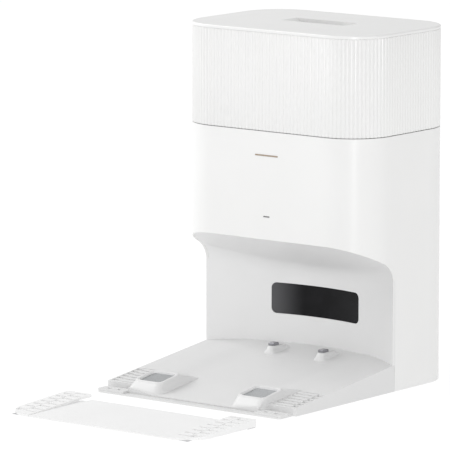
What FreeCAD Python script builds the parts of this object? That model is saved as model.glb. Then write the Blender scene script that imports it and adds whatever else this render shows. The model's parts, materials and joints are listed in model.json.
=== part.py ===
"""Charging and dust-emptying dock of a robot vacuum, with its loose ramp plate.

Millimetres. While it is being built the dock stands on z = 0, its front face is
on y = 0 with the back towards +y, and it is symmetric about x = 0. At the end
every piece moves along y so that the origin is under the middle of the whole.
"""
import FreeCAD, Part
import math
import os

V = FreeCAD.Vector

# Driving dimensions of the body, from the floor up
body_width = 300.0
body_depth = 206.0
corner_radius = 58.0
bay_height = 189.4
panel_height = 138.1
cover_height = 129.5
shell_wall = 2.8
seam_gap = 0.7
foot_height = 0.8
bottom_thickness = 2.0

# Clearances, and how far a cutting shape reaches past what it cuts
fit_gap = 0.2
moving_gap = 0.4
running_gap = 0.05
docking_gap = 0.6
over = 1.0

half_width = body_width / 2
seam_height = bay_height + panel_height
dock_height = seam_height + cover_height
plate_top = foot_height + bottom_thickness
rear_inner_y = body_depth - shell_wall
straight_half = half_width - corner_radius

# Parking bay: a curved back wall under a sloping roof
rear_room = 95.0
bay_wall_radius = 278.0
roof_slope_deg = 24.7
cove_radius = 24.0
liner_wall = 3.4
liner_return_drop = 46.4
tool_margin = 40.0
roof_slope = math.tan(math.radians(roof_slope_deg))
wall_back_y = body_depth - rear_room
wall_centre_y = wall_back_y - bay_wall_radius
liner_return_top = bay_height - liner_return_drop

# Base: two raised wheel tracks with a dished floor between them
track_front_y = -134.0
floor_reach = 16.0
lip_reach = 12.0
lip_inset = 4.5
lip_corner = 5.0
track_front_height = 10.9
track_slope = 0.1164
floor_front_height = 4.0
floor_slope = 0.1275
floor_skin = 3.2
track_width = 46.0
blend_width = 44.0
block_side_margin = 5.0
block_width = track_width - block_side_margin
block_front_setback = 1.5
block_rear_setback = 8.0
block_height = 2.7
block_corner = 2.0
block_pocket = 5.0
lip_groove_width = 2.2
lip_groove_depth = 1.2
floor_front_y = track_front_y - floor_reach
lip_front_y = floor_front_y - lip_reach
block_front_y = lip_front_y + block_front_setback
block_rear_y = track_front_y - block_rear_setback
block_x_high = half_width - lip_inset
block_x_low = block_x_high - block_width
track_inner_x = half_width - track_width
floor_half = track_inner_x - blend_width

# Treads: bars that stand in a shallow pocket
tread_depth = 1.9
base_tread_length = 58.0
base_tread_rows = 6
base_bar_length = 29.0
base_stub_length = 7.0
base_bar_width = 6.6
tread_margin = 4.0

# Screws that hold the base, and the bosses they turn in
base_screw_inset = 14.0
base_screw_front = 72.0
base_screw_rear = 67.0
boss_radius = 3.0

# Suction vents
vent_offset = 22.0
vent_half_width = 19.4
vent_front_reach = 2.5
vent_length = 36.5
vent_rim_height = 18.9
vent_rim_slope = 0.165
vent_rim = 3.2
vent_corner = 6.0
vent_flare = 3.8
vent_nose = 12.0
vent_tail = 34.0
vent_sink = 3.0
seal_width = 1.2
seal_depth = 2.4
seal_drop = 0.8
grille_drop = 3.2
grille_thickness = 1.6
grille_slots = 6
grille_slot_width = 2.2
vent_x = track_inner_x - vent_offset
vent_front_y = track_front_y - vent_front_reach
vent_rear_y = vent_front_y + vent_length

# Charging contacts on a carrier in the floor
carrier_side_margin = 17.0
carrier_wall_gap = 12.0
carrier_length = 51.0
pod_vent_distance = 42.0
pod_half_width = 9.0
pod_setback = 7.0
pod_length = 42.0
pod_corner = 6.0
pod_top_corner = 5.0
pod_draft = 3.4
pod_rise = 9.5
contact_half_width = 4.3
contact_setback = 7.0
contact_length = 11.0
contact_rise = 3.8
contact_corner = 1.2
contact_flange = 1.6
contact_flange_thickness = 1.5
spring_radius = 3.2
spring_wire_radius = 0.4
spring_turns = 6.0
pod_x = vent_x - pod_vent_distance
carrier_half_width = pod_x + carrier_side_margin
carrier_rear_y = wall_back_y - carrier_wall_gap
carrier_front_y = carrier_rear_y - carrier_length
pod_front_y = carrier_front_y + pod_setback
contact_front_y = pod_front_y + contact_setback

# Infrared window, status light and badge
window_half_width = 70.0
window_low = 74.0
window_high = 114.0
window_corner = 7.0
window_thickness = 2.0
window_board_gap = 1.5
window_board_half_width = 60.0
window_board_low_margin = 5.0
window_board_high_margin = 7.0
emitter_radius = 2.0
emitter_length = 2.6
emitter_pitch = 24.0
light_rise = 29.4
light_width = 9.6
light_thickness = 1.3
light_length = 8.6
badge_drop = 30.5
badge_width = 36.0
badge_thickness = 1.8
badge_relief = 0.4
light_height = bay_height + light_rise
badge_height = seam_height - badge_drop

# Cover: upright wall, top plate with a finger scoop, rear hinge
cover_wall_thickness = 2.6
top_thickness = 3.8
top_edge_radius = 1.8
reveal_height = 0.6
reveal_depth = 1.0
rim_depth = 7.0
rim_thickness = 2.4
scoop_half_width = 50.0
scoop_rear_margin = 79.0
scoop_length = 33.0
scoop_depth = 18.0
scoop_toe = 9.0
scoop_wall = 2.4
scoop_undercut = 5.0
scoop_steps = 6
scoop_taper = 24.0
cover_flange_thickness = 3.0
gasket_width = 5.0
gasket_thickness = 2.8
magnet_x = 70.0
magnet_width = 12.0
magnet_depth = 5.0
magnet_thickness = 2.4
magnet_wall_gap = 0.6
hinge_inset = 22.0
hinge_cover_width = 16.0
hinge_body_width = 11.5
hinge_barrel_radius = 4.8
hinge_pin_radius = 2.0
hinge_leaf = 2.5
hinge_leaf_height = 20.0
hinge_stand = 5.2
hinge_x = straight_half - hinge_inset
hinge_y = body_depth + hinge_stand
hinge_z = seam_height + seam_gap / 2
scoop_rear_y = body_depth - scoop_rear_margin
scoop_front_y = scoop_rear_y - scoop_length
wall_low = seam_height + seam_gap
wall_high = dock_height - top_thickness - reveal_height

# Bag chamber, hung from the deck
deck_thickness = 2.8
chamber_margin = 30.0
chamber_front_y = 14.0
chamber_rear_margin = 18.0
chamber_rise = 16.0
chamber_wall = 2.2
chamber_corner = 20.0
filter_rear_gap = 4.4
filter_shift = 2.0
filter_thickness = 8.0
guard_bar_width = 2.0
guard_bar_pitch = 12.0
bag_clearance = 12.0
bag_corner = 16.0
bag_rim_share = 0.8
bag_neck_wall = 2.0
collar_thickness = 2.5
collar_width = 92.0
collar_height = 96.0
rail_thickness = 2.4
rail_lap = 4.0
port_radius = 17.0
port_drop = 54.0
port_seal_wall = 3.0
port_seal_thickness = 1.5
chamber_rear_y = body_depth - chamber_rear_margin
chamber_half = half_width - chamber_margin
chamber_floor = bay_height + chamber_rise
deck_low = seam_height - deck_thickness
port_z = seam_height - port_drop

# Fan and motor behind the bay wall
fan_x = -40.0
fan_radius = 43.0
fan_wall = 2.0
fan_rear_gap = 2.0
fan_height = 50.0
fan_inlet_radius = 18.0
fan_outlets = 6
fan_outlet_radius = 2.4
fan_outlet_ring = 38.0
motor_low = 50.0
motor_radius = 29.0
motor_height = 62.0
mount_height = 6.0
mount_width = 8.0
shaft_radius = 3.0
bearing_radius = 8.0
bearing_height = 5.0
bearing_inset = 2.0
shaft_inset = 1.0
impeller_radius = 36.0
impeller_height = 22.0
impeller_lift = 6.0
impeller_disc = 2.0
impeller_hub_radius = 7.5
impeller_hub_height = 13.0
impeller_blades = 9
blade_thickness = 1.4
duct_tube_radius = 30.0
duct_tube_wall = 2.0
fan_y = rear_inner_y - fan_rear_gap - fan_radius
motor_high = motor_low + motor_height
fan_low = motor_high + mount_height
fan_high = fan_low + fan_height
impeller_low = fan_low + fan_wall + impeller_lift
filter_radius = chamber_rear_y - fan_y + filter_shift - filter_rear_gap

# Air ducts from the vents to the bag
channel_half_width = 16.0
channel_wall = 1.6
snout_reach = 26.0
cross_setback = 4.0
cross_depth = 32.0
cross_height = 22.0
riser_width = 22.0
riser_lead = 13.0
riser_depth = 52.0
riser_head = 26.5
port_setback = 20.0
snout_front_y = wall_back_y - snout_reach
channel_rear_y = snout_front_y - docking_gap
cross_front_y = wall_back_y + cross_setback
riser_low_x = chamber_half + port_seal_thickness
riser_front_y = wall_back_y - riser_lead
port_y = riser_front_y + port_setback
riser_top = port_z + riser_head

# Rear service cover, exhaust filter, boards and mains inlet
rear_cover_inset = 8.0
rear_cover_low = 20.0
rear_cover_drop = 24.0
rear_cover_thickness = 2.4
rear_ledge = 6.0
rear_ledge_thickness = 3.2
louvre_count = 9
louvre_height = 4.0
louvre_pitch = 7.6
louvre_half_width = 37.0
louvre_rise = 6.0
exhaust_low = 30.0
exhaust_margin = 2.0
exhaust_head = 8.0
exhaust_thickness = 10.0
board_thickness = 1.6
main_board_half_width = 70.0
main_board_low_gap = 4.0
main_board_high_gap = 30.0
main_board_front_gap = 0.4
chip_size = 14.0
chip_thickness = 1.6
chip_places = (-50.0, -18.0, 22.0)
power_board_gap = 4.0
power_board_low_x = 12.0
power_board_high_x = 78.0
power_board_low = 68.0
power_board_high = 150.0
transformer_margin = 14.0
transformer_width = 28.0
transformer_rise = 16.0
transformer_height = 26.0
transformer_depth = 22.0
capacitor_radius = 6.0
capacitor_length = 18.0
capacitor_rise = 62.0
capacitor_places = (28.0, 46.0)
screw_radius = 1.5
screw_head_radius = 3.0
screw_head_height = 1.2
screw_length = 5.0
screw_inset = 3.0
inlet_side_margin = 34.0
inlet_z = 45.0
inlet_half_width = 12.0
inlet_half_height = 9.0
inlet_length = 20.0
inlet_flange = 2.0
inlet_cavity_depth = 13.0
inlet_wall = 3.0
inlet_pin_radius = 1.2
inlet_pin_spacing = 8.6
inlet_pin_length = 10.0
lead_radius = 1.3
lead_gap = 0.4
lead_turn = 14.0
mains_lead_x = 66.0
motor_lead_x = 20.0
motor_lead_z = 60.0
rear_cover_half = straight_half - rear_cover_inset
rear_cover_high = seam_height - rear_cover_drop
inlet_x = rear_cover_half - inlet_side_margin
ledge_front_y = rear_inner_y - rear_ledge_thickness
power_board_y = ledge_front_y - power_board_gap

# Ramp plate, lying clear of the dock
docking_travel = 71.6
plate_length = 116.0
plate_corner = 36.0
plate_low_front = 0.6
plate_low_rear = 3.4
plate_skin = 1.5
ramp_front_height = 2.6
ramp_rear_height = 10.0
ramp_track_width = 39.0
ramp_skin = 1.8
ramp_side = 2.2
ramp_roof_front = 0.9
ramp_notch_length = 24.0
ramp_pad = 16.0
ramp_pad_front_margin = 4.0
ramp_pad_rear_margin = 2.0
ramp_rows = 7
ramp_bar_pitch = 14.6
ramp_bar_width = 10.4
ramp_bar_long = 18.0
ramp_bar_short = 14.5
ramp_bar_gap = 1.5
ramp_tread_rear_margin = 5.0
plate_rear_y = floor_front_y - moving_gap - docking_travel
plate_front_y = plate_rear_y - plate_length
ramp_rear_y = block_rear_y - moving_gap - docking_travel
ramp_notch_height = plate_top + block_height + docking_gap

# Rubber feet under the dock
foot_radius = 9.0
foot_inset = 28.0
foot_rear_inset = 50.0
foot_front_setback = 14.0
foot_middle_lead = 81.0
foot_rear_lead = 36.0

total_rear_y = hinge_y + hinge_barrel_radius
frame_shift = -(plate_front_y + total_rear_y) / 2


# ---------------------------------------------------------------- helpers
def block(x_low, x_high, y_low, y_high, z_low, z_high):
    return Part.makeBox(x_high - x_low, y_high - y_low, z_high - z_low, V(x_low, y_low, z_low))


def rounded_block(x_low, x_high, y_low, y_high, z_low, z_high, radius):
    solid = block(x_low, x_high, y_low, y_high, z_low, z_high)
    uprights = [edge for edge in solid.Edges if edge.BoundBox.ZLength > (z_high - z_low) / 2]
    return solid.makeFillet(radius, uprights)


def upright(x, y, z_low, z_high, radius):
    return Part.makeCylinder(radius, z_high - z_low, V(x, y, z_low))


def tube(x, y, z_low, z_high, outer, inner):
    return upright(x, y, z_low, z_high, outer).cut(upright(x, y, z_low, z_high, inner))


def rod_x(x_low, x_high, y, z, radius):
    return Part.makeCylinder(radius, x_high - x_low, V(x_low, y, z), V(1, 0, 0))


def rod_y(x, y_low, y_high, z, radius):
    return Part.makeCylinder(radius, y_high - y_low, V(x, y_low, z), V(0, 1, 0))


def side_prism(x_low, x_high, points):
    """A closed (y, z) outline, extruded along x."""
    corners = [V(x_low, y, z) for y, z in points]
    face = Part.Face(Part.makePolygon(corners + corners[:1]))
    return face.extrude(V(x_high - x_low, 0, 0))


def sloped_slab(x_low, x_high, y_low, y_high, height, thickness):
    """A plate whose underside follows height(y)."""
    low = [(y_low, height(y_low)), (y_high, height(y_high))]
    high = [(y, z + thickness) for y, z in reversed(low)]
    return side_prism(x_low, x_high, low + high)


def mirrored(shape):
    return shape.mirror(V(0, 0, 0), V(1, 0, 0))


def fused(shapes):
    return shapes[0].multiFuse(shapes[1:]).removeSplitter() if len(shapes) > 1 else shapes[0]


def tilted_outline(x_low, x_high, y_low, y_high, radius, z_low, slope):
    """A rounded rectangle on a plane that rises towards the back."""
    flat = rounded_block(x_low, x_high, y_low, y_high, z_low - 1.0, z_low, radius)
    top = max(flat.Faces, key=lambda face: face.CenterOfMass.z)
    wire = top.OuterWire.copy()
    wire.rotate(V(0, y_low, z_low), V(1, 0, 0), math.degrees(math.atan(slope)))
    return wire


def soft_rise(y, x_low, z_low, x_high, z_high):
    """Two tangent arcs that rise from one level to another."""
    run, rise = (x_high - x_low) / 2, (z_high - z_low) / 2
    radius = (run * run + rise * rise) / (2 * rise)
    half_turn = math.asin(run / radius) / 2
    across, up = radius * math.sin(half_turn), radius * (1 - math.cos(half_turn))
    middle = V(x_low + run, y, z_low + rise)
    hollow = Part.Arc(V(x_low, y, z_low), V(x_low + across, y, z_low + up), middle)
    crown = Part.Arc(middle, V(x_high - across, y, z_high - up), V(x_high, y, z_high))
    return [hollow.toShape(), crown.toShape()]


def lead(points, radius):
    """A wire of round section along straight runs joined by tangent arcs."""
    corners = [V(*point) for point in points]
    edges = []
    start = corners[0]
    for before, corner, after in zip(corners, corners[1:], corners[2:]):
        reach = 0.45 * min((corner - before).Length, (after - corner).Length)
        inward = (before - corner).normalize()
        outward = (after - corner).normalize()
        half_turn = (math.pi - inward.getAngle(outward)) / 2
        bend = reach / math.tan(half_turn)
        bisector = (inward + outward).normalize()
        middle = corner + bisector * (bend / math.cos(half_turn) - bend)
        edges.append(Part.makeLine(start, corner + inward * reach))
        edges.append(Part.Arc(corner + inward * reach, middle, corner + outward * reach).toShape())
        start = corner + outward * reach
    edges.append(Part.makeLine(start, corners[-1]))
    section = Part.Wire(Part.makeCircle(radius, corners[0], corners[1] - corners[0]))
    return Part.Wire(edges).makePipeShell([section], True, False)


# ---------------------------------------------------------------- shared volumes
def body_prism(inset, z_low, z_high):
    """The body's rounded plan outline, set in and extruded."""
    return rounded_block(-half_width + inset, half_width - inset, inset, body_depth - inset,
                         z_low, z_high, corner_radius - inset)


def bay_wall_cylinder(grow):
    return Part.makeCylinder(bay_wall_radius + grow, dock_height, V(0, wall_centre_y, -tool_margin))


def bay_volume(grow):
    """The parking bay with its cove, grown outwards by a wall thickness."""
    rise = grow / math.cos(math.radians(roof_slope_deg))
    front = -tool_margin
    back = wall_back_y + grow + tool_margin
    reach = half_width + tool_margin / 2
    outline = [(front, -tool_margin), (front, bay_height + rise - roof_slope * front),
               (back, bay_height + rise - roof_slope * back), (back, -tool_margin)]
    volume = side_prism(-reach, reach, outline).common(bay_wall_cylinder(grow)).Solids[0]
    coves = [edge for edge in volume.Edges if isinstance(edge.Curve, Part.Ellipse)]
    return volume.makeFillet(cove_radius + grow, coves)


def track_top(y):
    return track_front_height + track_slope * (y - track_front_y)


def floor_top(y):
    return floor_front_height + floor_slope * (y - floor_front_y)


def ramp_section(y, drop, inset, z_low):
    edge = half_width - inset
    track = track_top(y) - drop
    floor = floor_top(y) - drop
    corners = [V(track_inner_x, y, track), V(edge, y, track), V(edge, y, z_low),
               V(-edge, y, z_low), V(-edge, y, track), V(-track_inner_x, y, track)]
    rise = soft_rise(y, floor_half, floor, track_inner_x, track)
    fall = [mirrored(edge_shape) for edge_shape in reversed(rise)]
    sides = [Part.makeLine(here, there) for here, there in zip(corners, corners[1:])]
    dish = Part.makeLine(V(-floor_half, y, floor), V(floor_half, y, floor))
    return Part.Wire(Part.sortEdges(rise + sides + fall + [dish])[0])


def ramp_volume(drop=0.0, inset=0.0, y_low=floor_front_y, z_low=plate_top):
    """Everything under the base's upper surface."""
    y_high = wall_back_y + liner_wall + tool_margin
    sections = [ramp_section(y, drop, inset, z_low) for y in (y_low, y_high)]
    return Part.makeLoft(sections, True, True)


def sunk_tread(solid, lowered, pocket, bars):
    """Sink a pocket into a solid, leaving bars level with its top."""
    hollow = pocket.cut(fused(bars)).common(solid).cut(lowered)
    return solid.cut(hollow)


def vent_rim_top(y):
    return vent_rim_height + vent_rim_slope * (y - vent_front_y)


def vent_opening(inset, z_low, z_high):
    return rounded_block(vent_x - vent_half_width + inset, vent_x + vent_half_width - inset,
                         vent_front_y + inset, vent_rear_y - inset, z_low, z_high, vent_corner - inset)


# ---------------------------------------------------------------- body casings
def outer_shell():
    shell = body_prism(0, foot_height, seam_height).cut(body_prism(shell_wall, 0, dock_height))
    ledge = block(-rear_cover_half - rear_ledge, rear_cover_half + rear_ledge,
                  ledge_front_y, rear_inner_y + fit_gap,
                  rear_cover_low - rear_ledge, rear_cover_high + rear_ledge)
    shell = shell.fuse(ledge)
    shell = shell.cut(bay_volume(0))
    lower = block(-body_width, body_width, -body_depth, body_depth, -tool_margin, liner_return_top)
    shell = shell.cut(bay_volume(liner_wall + fit_gap).common(lower))
    seat = block(-rear_cover_half - fit_gap, rear_cover_half + fit_gap,
                 body_depth - rear_cover_thickness - fit_gap, body_depth + over,
                 rear_cover_low - fit_gap, rear_cover_high + fit_gap)
    doorway = block(-rear_cover_half + rear_ledge, rear_cover_half - rear_ledge,
                    rear_inner_y - tool_margin, body_depth,
                    rear_cover_low + rear_ledge, rear_cover_high - rear_ledge)
    slot = block(-light_width / 2 - fit_gap, light_width / 2 + fit_gap, -over, shell_wall + over,
                 light_height - light_thickness / 2 - fit_gap,
                 light_height + light_thickness / 2 + fit_gap)
    pilots = [rod_y(x, rear_inner_y - tool_margin / 2, body_depth, z, screw_radius)
              for x, z in rear_screw_places()]
    return shell.cut(fused([seat, doorway])).cut(slot).cut(fused(pilots)).removeSplitter()


def recess_liner():
    skin = bay_volume(liner_wall).cut(bay_volume(0))
    low_body = body_prism(0, -tool_margin, liner_return_top - fit_gap)
    high_body = body_prism(shell_wall + fit_gap, liner_return_top - 2 * fit_gap, seam_height)
    liner = skin.common(low_body.fuse(high_body)).cut(ramp_volume(z_low=-tool_margin))
    return liner.cut(window_volume(fit_gap, 0.0, liner_wall)).removeSplitter()


def window_volume(grow, outer, inner):
    """A curved panel in the bay wall, between two depths behind its face."""
    flat = block(-window_half_width - grow, window_half_width + grow, 0, body_depth,
                 window_low - grow, window_high + grow)
    along = [edge for edge in flat.Edges if edge.BoundBox.YLength > body_depth / 2]
    flat = flat.makeFillet(window_corner + grow, along)
    return flat.common(bay_wall_cylinder(inner)).cut(bay_wall_cylinder(outer))


def infrared_window():
    return window_volume(0.0, fit_gap, fit_gap + window_thickness)


def infrared_board():
    y = wall_back_y + liner_wall + window_board_gap
    board = block(-window_board_half_width, window_board_half_width, y, y + board_thickness,
                  window_low + window_board_low_margin, window_high - window_board_high_margin)
    middle_z = (window_low + window_high) / 2
    emitters = [rod_y(step * emitter_pitch, y - emitter_length, y, middle_z, emitter_radius)
                for step in (-1.5, -0.5, 0.5, 1.5)]
    return fused([board] + emitters)


def rear_screw_places():
    x = rear_cover_half - screw_inset
    low = rear_cover_low + screw_inset
    high = rear_cover_high - screw_inset
    return [(side * x, z) for side in (-1, 1) for z in (low, (low + high) / 2, high)]


def rear_cover():
    front, rear = body_depth - rear_cover_thickness, body_depth + over
    plate = block(-rear_cover_half, rear_cover_half, front, body_depth, rear_cover_low, rear_cover_high)
    for row in range(louvre_count):
        z = exhaust_low + louvre_rise + row * louvre_pitch
        plate = plate.cut(block(fan_x - louvre_half_width, fan_x + louvre_half_width, front - over, rear,
                                z, z + louvre_height))
    for x, z in rear_screw_places():
        plate = plate.cut(rod_y(x, front - over, rear, z, screw_radius + fit_gap))
        plate = plate.cut(rod_y(x, body_depth - screw_head_height - fit_gap, rear, z,
                                screw_head_radius + fit_gap))
    socket = block(inlet_x - inlet_half_width - fit_gap, inlet_x + inlet_half_width + fit_gap,
                   front - over, rear, inlet_z - inlet_half_height - fit_gap,
                   inlet_z + inlet_half_height + fit_gap)
    return plate.cut(socket)


def case_screws():
    """The six screws of the rear cover and the four of the base."""
    screws = []
    for x, z in rear_screw_places():
        neck = body_depth - screw_head_height
        screws.append(rod_y(x, neck, body_depth, z, screw_head_radius)
                      .fuse(rod_y(x, neck - screw_length, neck, z, screw_radius)))
    for x, y in base_screw_places():
        neck = foot_height + screw_head_height
        screws.append(upright(x, y, foot_height, neck, screw_head_radius)
                      .fuse(upright(x, y, neck, neck + screw_length, screw_radius)))
    return Part.makeCompound(screws)


def status_light():
    return block(-light_width / 2, light_width / 2, 0, light_length,
                 light_height - light_thickness / 2, light_height + light_thickness / 2)


def badge_bar():
    bar = block(-badge_width / 2, badge_width / 2, -badge_relief, 0,
                badge_height - badge_thickness / 2, badge_height + badge_thickness / 2)
    ends = [edge for edge in bar.Edges if edge.BoundBox.YLength > badge_relief / 2]
    return bar.makeFillet(badge_thickness / 2 - badge_relief / 2, ends)


def hinge_barrel(x_low, x_high, bore):
    return rod_x(x_low, x_high, hinge_y, hinge_z, hinge_barrel_radius).cut(
        rod_x(x_low - over, x_high + over, hinge_y, hinge_z, bore))


def hinge_body_spans():
    inner = hinge_cover_width / 2 + moving_gap
    outer = inner + hinge_body_width
    return [(hinge_x - outer, hinge_x - inner), (hinge_x + inner, hinge_x + outer)]


def hinge_brackets():
    pieces = []
    for x_low, x_high in hinge_body_spans():
        leaf = block(x_low, x_high, body_depth, body_depth + hinge_leaf, hinge_z - hinge_leaf_height,
                     seam_height)
        web = block(x_low, x_high, body_depth, hinge_y, hinge_z - hinge_barrel_radius,
                    hinge_z - hinge_pin_radius)
        barrel = hinge_barrel(x_low, x_high, hinge_pin_radius)
        bore = rod_x(x_low, x_high, hinge_y, hinge_z, hinge_pin_radius)
        bracket = fused([leaf, web, barrel]).cut(bore)
        pieces += [bracket, mirrored(bracket)]
    return Part.makeCompound(pieces)


def hinge_pins():
    spans = hinge_body_spans()
    pin = rod_x(spans[0][0], spans[1][1], hinge_y, hinge_z, hinge_pin_radius)
    return Part.makeCompound([pin, mirrored(pin)])


# ---------------------------------------------------------------- base
def base_ramp():
    outer = ramp_volume().common(bay_wall_cylinder(liner_wall))
    front_clear = block(track_inner_x, body_width, floor_front_y - over, track_front_y,
                        plate_top - over, bay_height)
    outer = outer.cut(fused([front_clear, mirrored(front_clear)]))
    rear_limit = block(-body_width, body_width, floor_front_y, wall_back_y + tool_margin, 0, bay_height)
    hollow = ramp_volume(floor_skin, floor_skin, floor_front_y + tool_margin / 2, 0).common(rear_limit)
    track_wall = block(track_inner_x - floor_skin, body_width, floor_front_y, track_front_y + floor_skin,
                       0, bay_height)
    hollow = hollow.cut(fused([track_wall, mirrored(track_wall)]))
    ramp = outer.cut(hollow)
    bosses = [upright(x, y, plate_top, track_top(y) - tread_depth - fit_gap, boss_radius)
              for x, y in base_screw_places()]
    ramp = fused([ramp] + bosses)
    for x, y in base_screw_places():
        ramp = ramp.cut(upright(x, y, 0, plate_top + screw_length, screw_radius))
    vents = vent_opening(0, 0, bay_height)
    carrier = block(-carrier_half_width - fit_gap, carrier_half_width + fit_gap, carrier_front_y - fit_gap,
                    carrier_rear_y + fit_gap, plate_top, bay_height)
    ramp = ramp.cut(fused([vents, mirrored(vents), carrier]))
    lowered = ramp_volume(drop=tread_depth, z_low=-tool_margin)
    for side in (-1, 1):
        pocket, bars = base_tread(side)
        ramp = sunk_tread(ramp, lowered, pocket, bars)
    return ramp.removeSplitter()


def base_tread(side):
    """Pocket and bars of one wheel track at the front of the base."""
    inner = vent_x + vent_half_width + vent_rim + vent_flare + tread_margin / 2
    outer = inner + base_bar_length + base_stub_length
    front = track_front_y + tread_margin
    pocket = block(inner, outer + tread_margin / 2, front, front + base_tread_length, 0, bay_height)
    pitch = base_tread_length / base_tread_rows
    bars = []
    for row in range(base_tread_rows):
        y = front + row * pitch + (pitch - base_bar_width) / 2
        bars.append(block(inner, inner + base_bar_length, y, y + base_bar_width, 0, bay_height))
        stub = y + pitch / 2
        bars.append(block(outer - base_stub_length + over, outer + tread_margin,
                          stub, stub + base_bar_width / 2, 0, bay_height))
    if side < 0:
        return mirrored(pocket), [mirrored(bar) for bar in bars]
    return pocket, bars


def base_screw_places():
    rows = (track_front_y + base_screw_front, wall_back_y - base_screw_rear)
    return [(side * (half_width - base_screw_inset), y) for side in (-1, 1) for y in rows]


def base_bottom():
    seam_y = wall_back_y + liner_wall
    front = block(-half_width, half_width, track_front_y, seam_y, foot_height, plate_top)
    front = front.common(bay_wall_cylinder(liner_wall))
    lip = rounded_block(-block_x_high, block_x_high, lip_front_y, track_front_y + tool_margin,
                        foot_height, plate_top, lip_corner)
    rear = body_prism(shell_wall + fit_gap, foot_height, plate_top)
    plate = fused([front, lip, rear])
    raised = rounded_block(block_x_low, block_x_high, block_front_y, block_rear_y,
                           foot_height, plate_top + block_height, block_corner)
    middle_y = (lip_front_y + block_rear_y) / 2
    pockets = [block(x, x + block_pocket, middle_y - block_pocket / 2, middle_y + block_pocket / 2,
                     plate_top + over, plate_top + block_height + over)
               for x in (block_x_high - 3 * block_pocket, block_x_low + 2 * block_pocket)]
    raised = raised.cut(fused(pockets))
    groove = block(-block_x_low, block_x_low, floor_front_y - lip_groove_width, floor_front_y,
                   plate_top - lip_groove_depth, bay_height)
    plate = fused([plate.cut(groove), raised, mirrored(raised)])
    for x, y in base_screw_places():
        plate = plate.cut(upright(x, y, 0, plate_top + over, screw_radius + fit_gap))
        plate = plate.cut(upright(x, y, 0, foot_height + screw_head_height, screw_head_radius + fit_gap))
    return plate


def dock_feet():
    places = [(half_width - foot_inset, track_front_y + foot_front_setback),
              (half_width - foot_inset, wall_back_y - foot_middle_lead),
              (half_width - foot_rear_inset, body_depth - foot_rear_lead)]
    return Part.makeCompound([upright(side * x, y, 0, foot_height, foot_radius)
                              for x, y in places for side in (-1, 1)])


def vent_housing():
    flare = vent_rim + vent_flare
    low = tilted_outline(vent_x - vent_half_width - flare, vent_x + vent_half_width + flare,
                         vent_front_y - vent_nose, vent_rear_y + vent_tail, vent_corner + vent_rim,
                         floor_top(vent_front_y - vent_nose) - vent_sink, floor_slope)
    high = tilted_outline(vent_x - vent_half_width - vent_rim, vent_x + vent_half_width + vent_rim,
                          vent_front_y - vent_rim, vent_rear_y + vent_rim, vent_corner + vent_rim,
                          vent_rim_top(vent_front_y - vent_rim), vent_rim_slope)
    housing = Part.makeLoft([low, high], True, True)
    housing = housing.cut(ramp_volume(z_low=-tool_margin))
    front = block(0, body_width, floor_front_y - tool_margin, floor_front_y, -tool_margin, bay_height)
    return housing.cut(front).cut(vent_opening(0, -tool_margin, bay_height)).cut(base_tread(1)[0])


def vent_seal():
    ring = vent_opening(fit_gap, 0, bay_height).cut(vent_opening(seal_width, 0, bay_height))
    band = sloped_slab(0, body_width, vent_front_y, vent_rear_y,
                       lambda y: vent_rim_top(y) - seal_drop - seal_depth, seal_depth)
    return ring.common(band)


def vent_grille():
    plate = sloped_slab(0, body_width, vent_front_y, vent_rear_y,
                        lambda y: vent_rim_top(y) - grille_drop - grille_thickness, grille_thickness)
    grille = vent_opening(fit_gap, 0, bay_height).common(plate)
    pitch = 2 * (vent_half_width - seal_width) / grille_slots
    for slot in range(grille_slots):
        x = vent_x - vent_half_width + seal_width + (slot + 0.5) * pitch
        grille = grille.cut(block(x - grille_slot_width / 2, x + grille_slot_width / 2,
                                  vent_front_y + seal_width + over, vent_rear_y - seal_width - over,
                                  0, bay_height))
    return grille


def contact_opening(grow, z_low, z_high):
    return block(pod_x - contact_half_width - grow, pod_x + contact_half_width + grow,
                 contact_front_y - grow, contact_front_y + contact_length + grow, z_low, z_high)


def contact_carrier():
    return sloped_slab(-carrier_half_width, carrier_half_width, carrier_front_y, carrier_rear_y,
                       lambda y: floor_top(y) - floor_skin, floor_skin).cut(
        fused([contact_opening(moving_gap, 0, bay_height),
               mirrored(contact_opening(moving_gap, 0, bay_height))]))


def pod_top():
    return floor_top(pod_front_y) + pod_rise


def contact_pod():
    low = tilted_outline(pod_x - pod_half_width, pod_x + pod_half_width,
                         pod_front_y, pod_front_y + pod_length,
                         pod_corner, floor_top(pod_front_y), floor_slope)
    high = tilted_outline(pod_x - pod_half_width + pod_draft, pod_x + pod_half_width - pod_draft,
                          pod_front_y + pod_draft, pod_front_y + pod_length - 2 * pod_draft,
                          pod_top_corner, pod_top(), 0.0)
    return Part.makeLoft([low, high], True, True).cut(contact_opening(moving_gap, 0, bay_height))


def contact_flange_top():
    return floor_top(contact_front_y - contact_flange) - floor_skin - moving_gap


def charging_contact():
    top = pod_top() + contact_rise
    plunger = contact_opening(0, contact_flange_top(), top)
    crown = [edge for edge in plunger.Edges if edge.BoundBox.ZMin > top - contact_corner]
    plunger = plunger.makeFillet(contact_corner, crown)
    flange = contact_opening(contact_flange, contact_flange_top() - contact_flange_thickness,
                             contact_flange_top())
    return fused([plunger, flange])


def contact_spring():
    low = plate_top + spring_wire_radius
    high = contact_flange_top() - contact_flange_thickness - spring_wire_radius
    y = contact_front_y + contact_length / 2
    path = Part.makeHelix((high - low) / spring_turns, high - low, spring_radius)
    path.translate(V(pod_x, y, low))
    section = Part.Wire(Part.makeCircle(spring_wire_radius, V(pod_x + spring_radius, y, low), V(0, 1, 0)))
    return Part.Wire(path.Edges).makePipeShell([section], True, True)


# ---------------------------------------------------------------- bag chamber
def chamber_block(inset, z_low, z_high):
    return rounded_block(-chamber_half + inset, chamber_half - inset, chamber_front_y + inset,
                         chamber_rear_y - inset, z_low, z_high, chamber_corner - inset)


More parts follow.
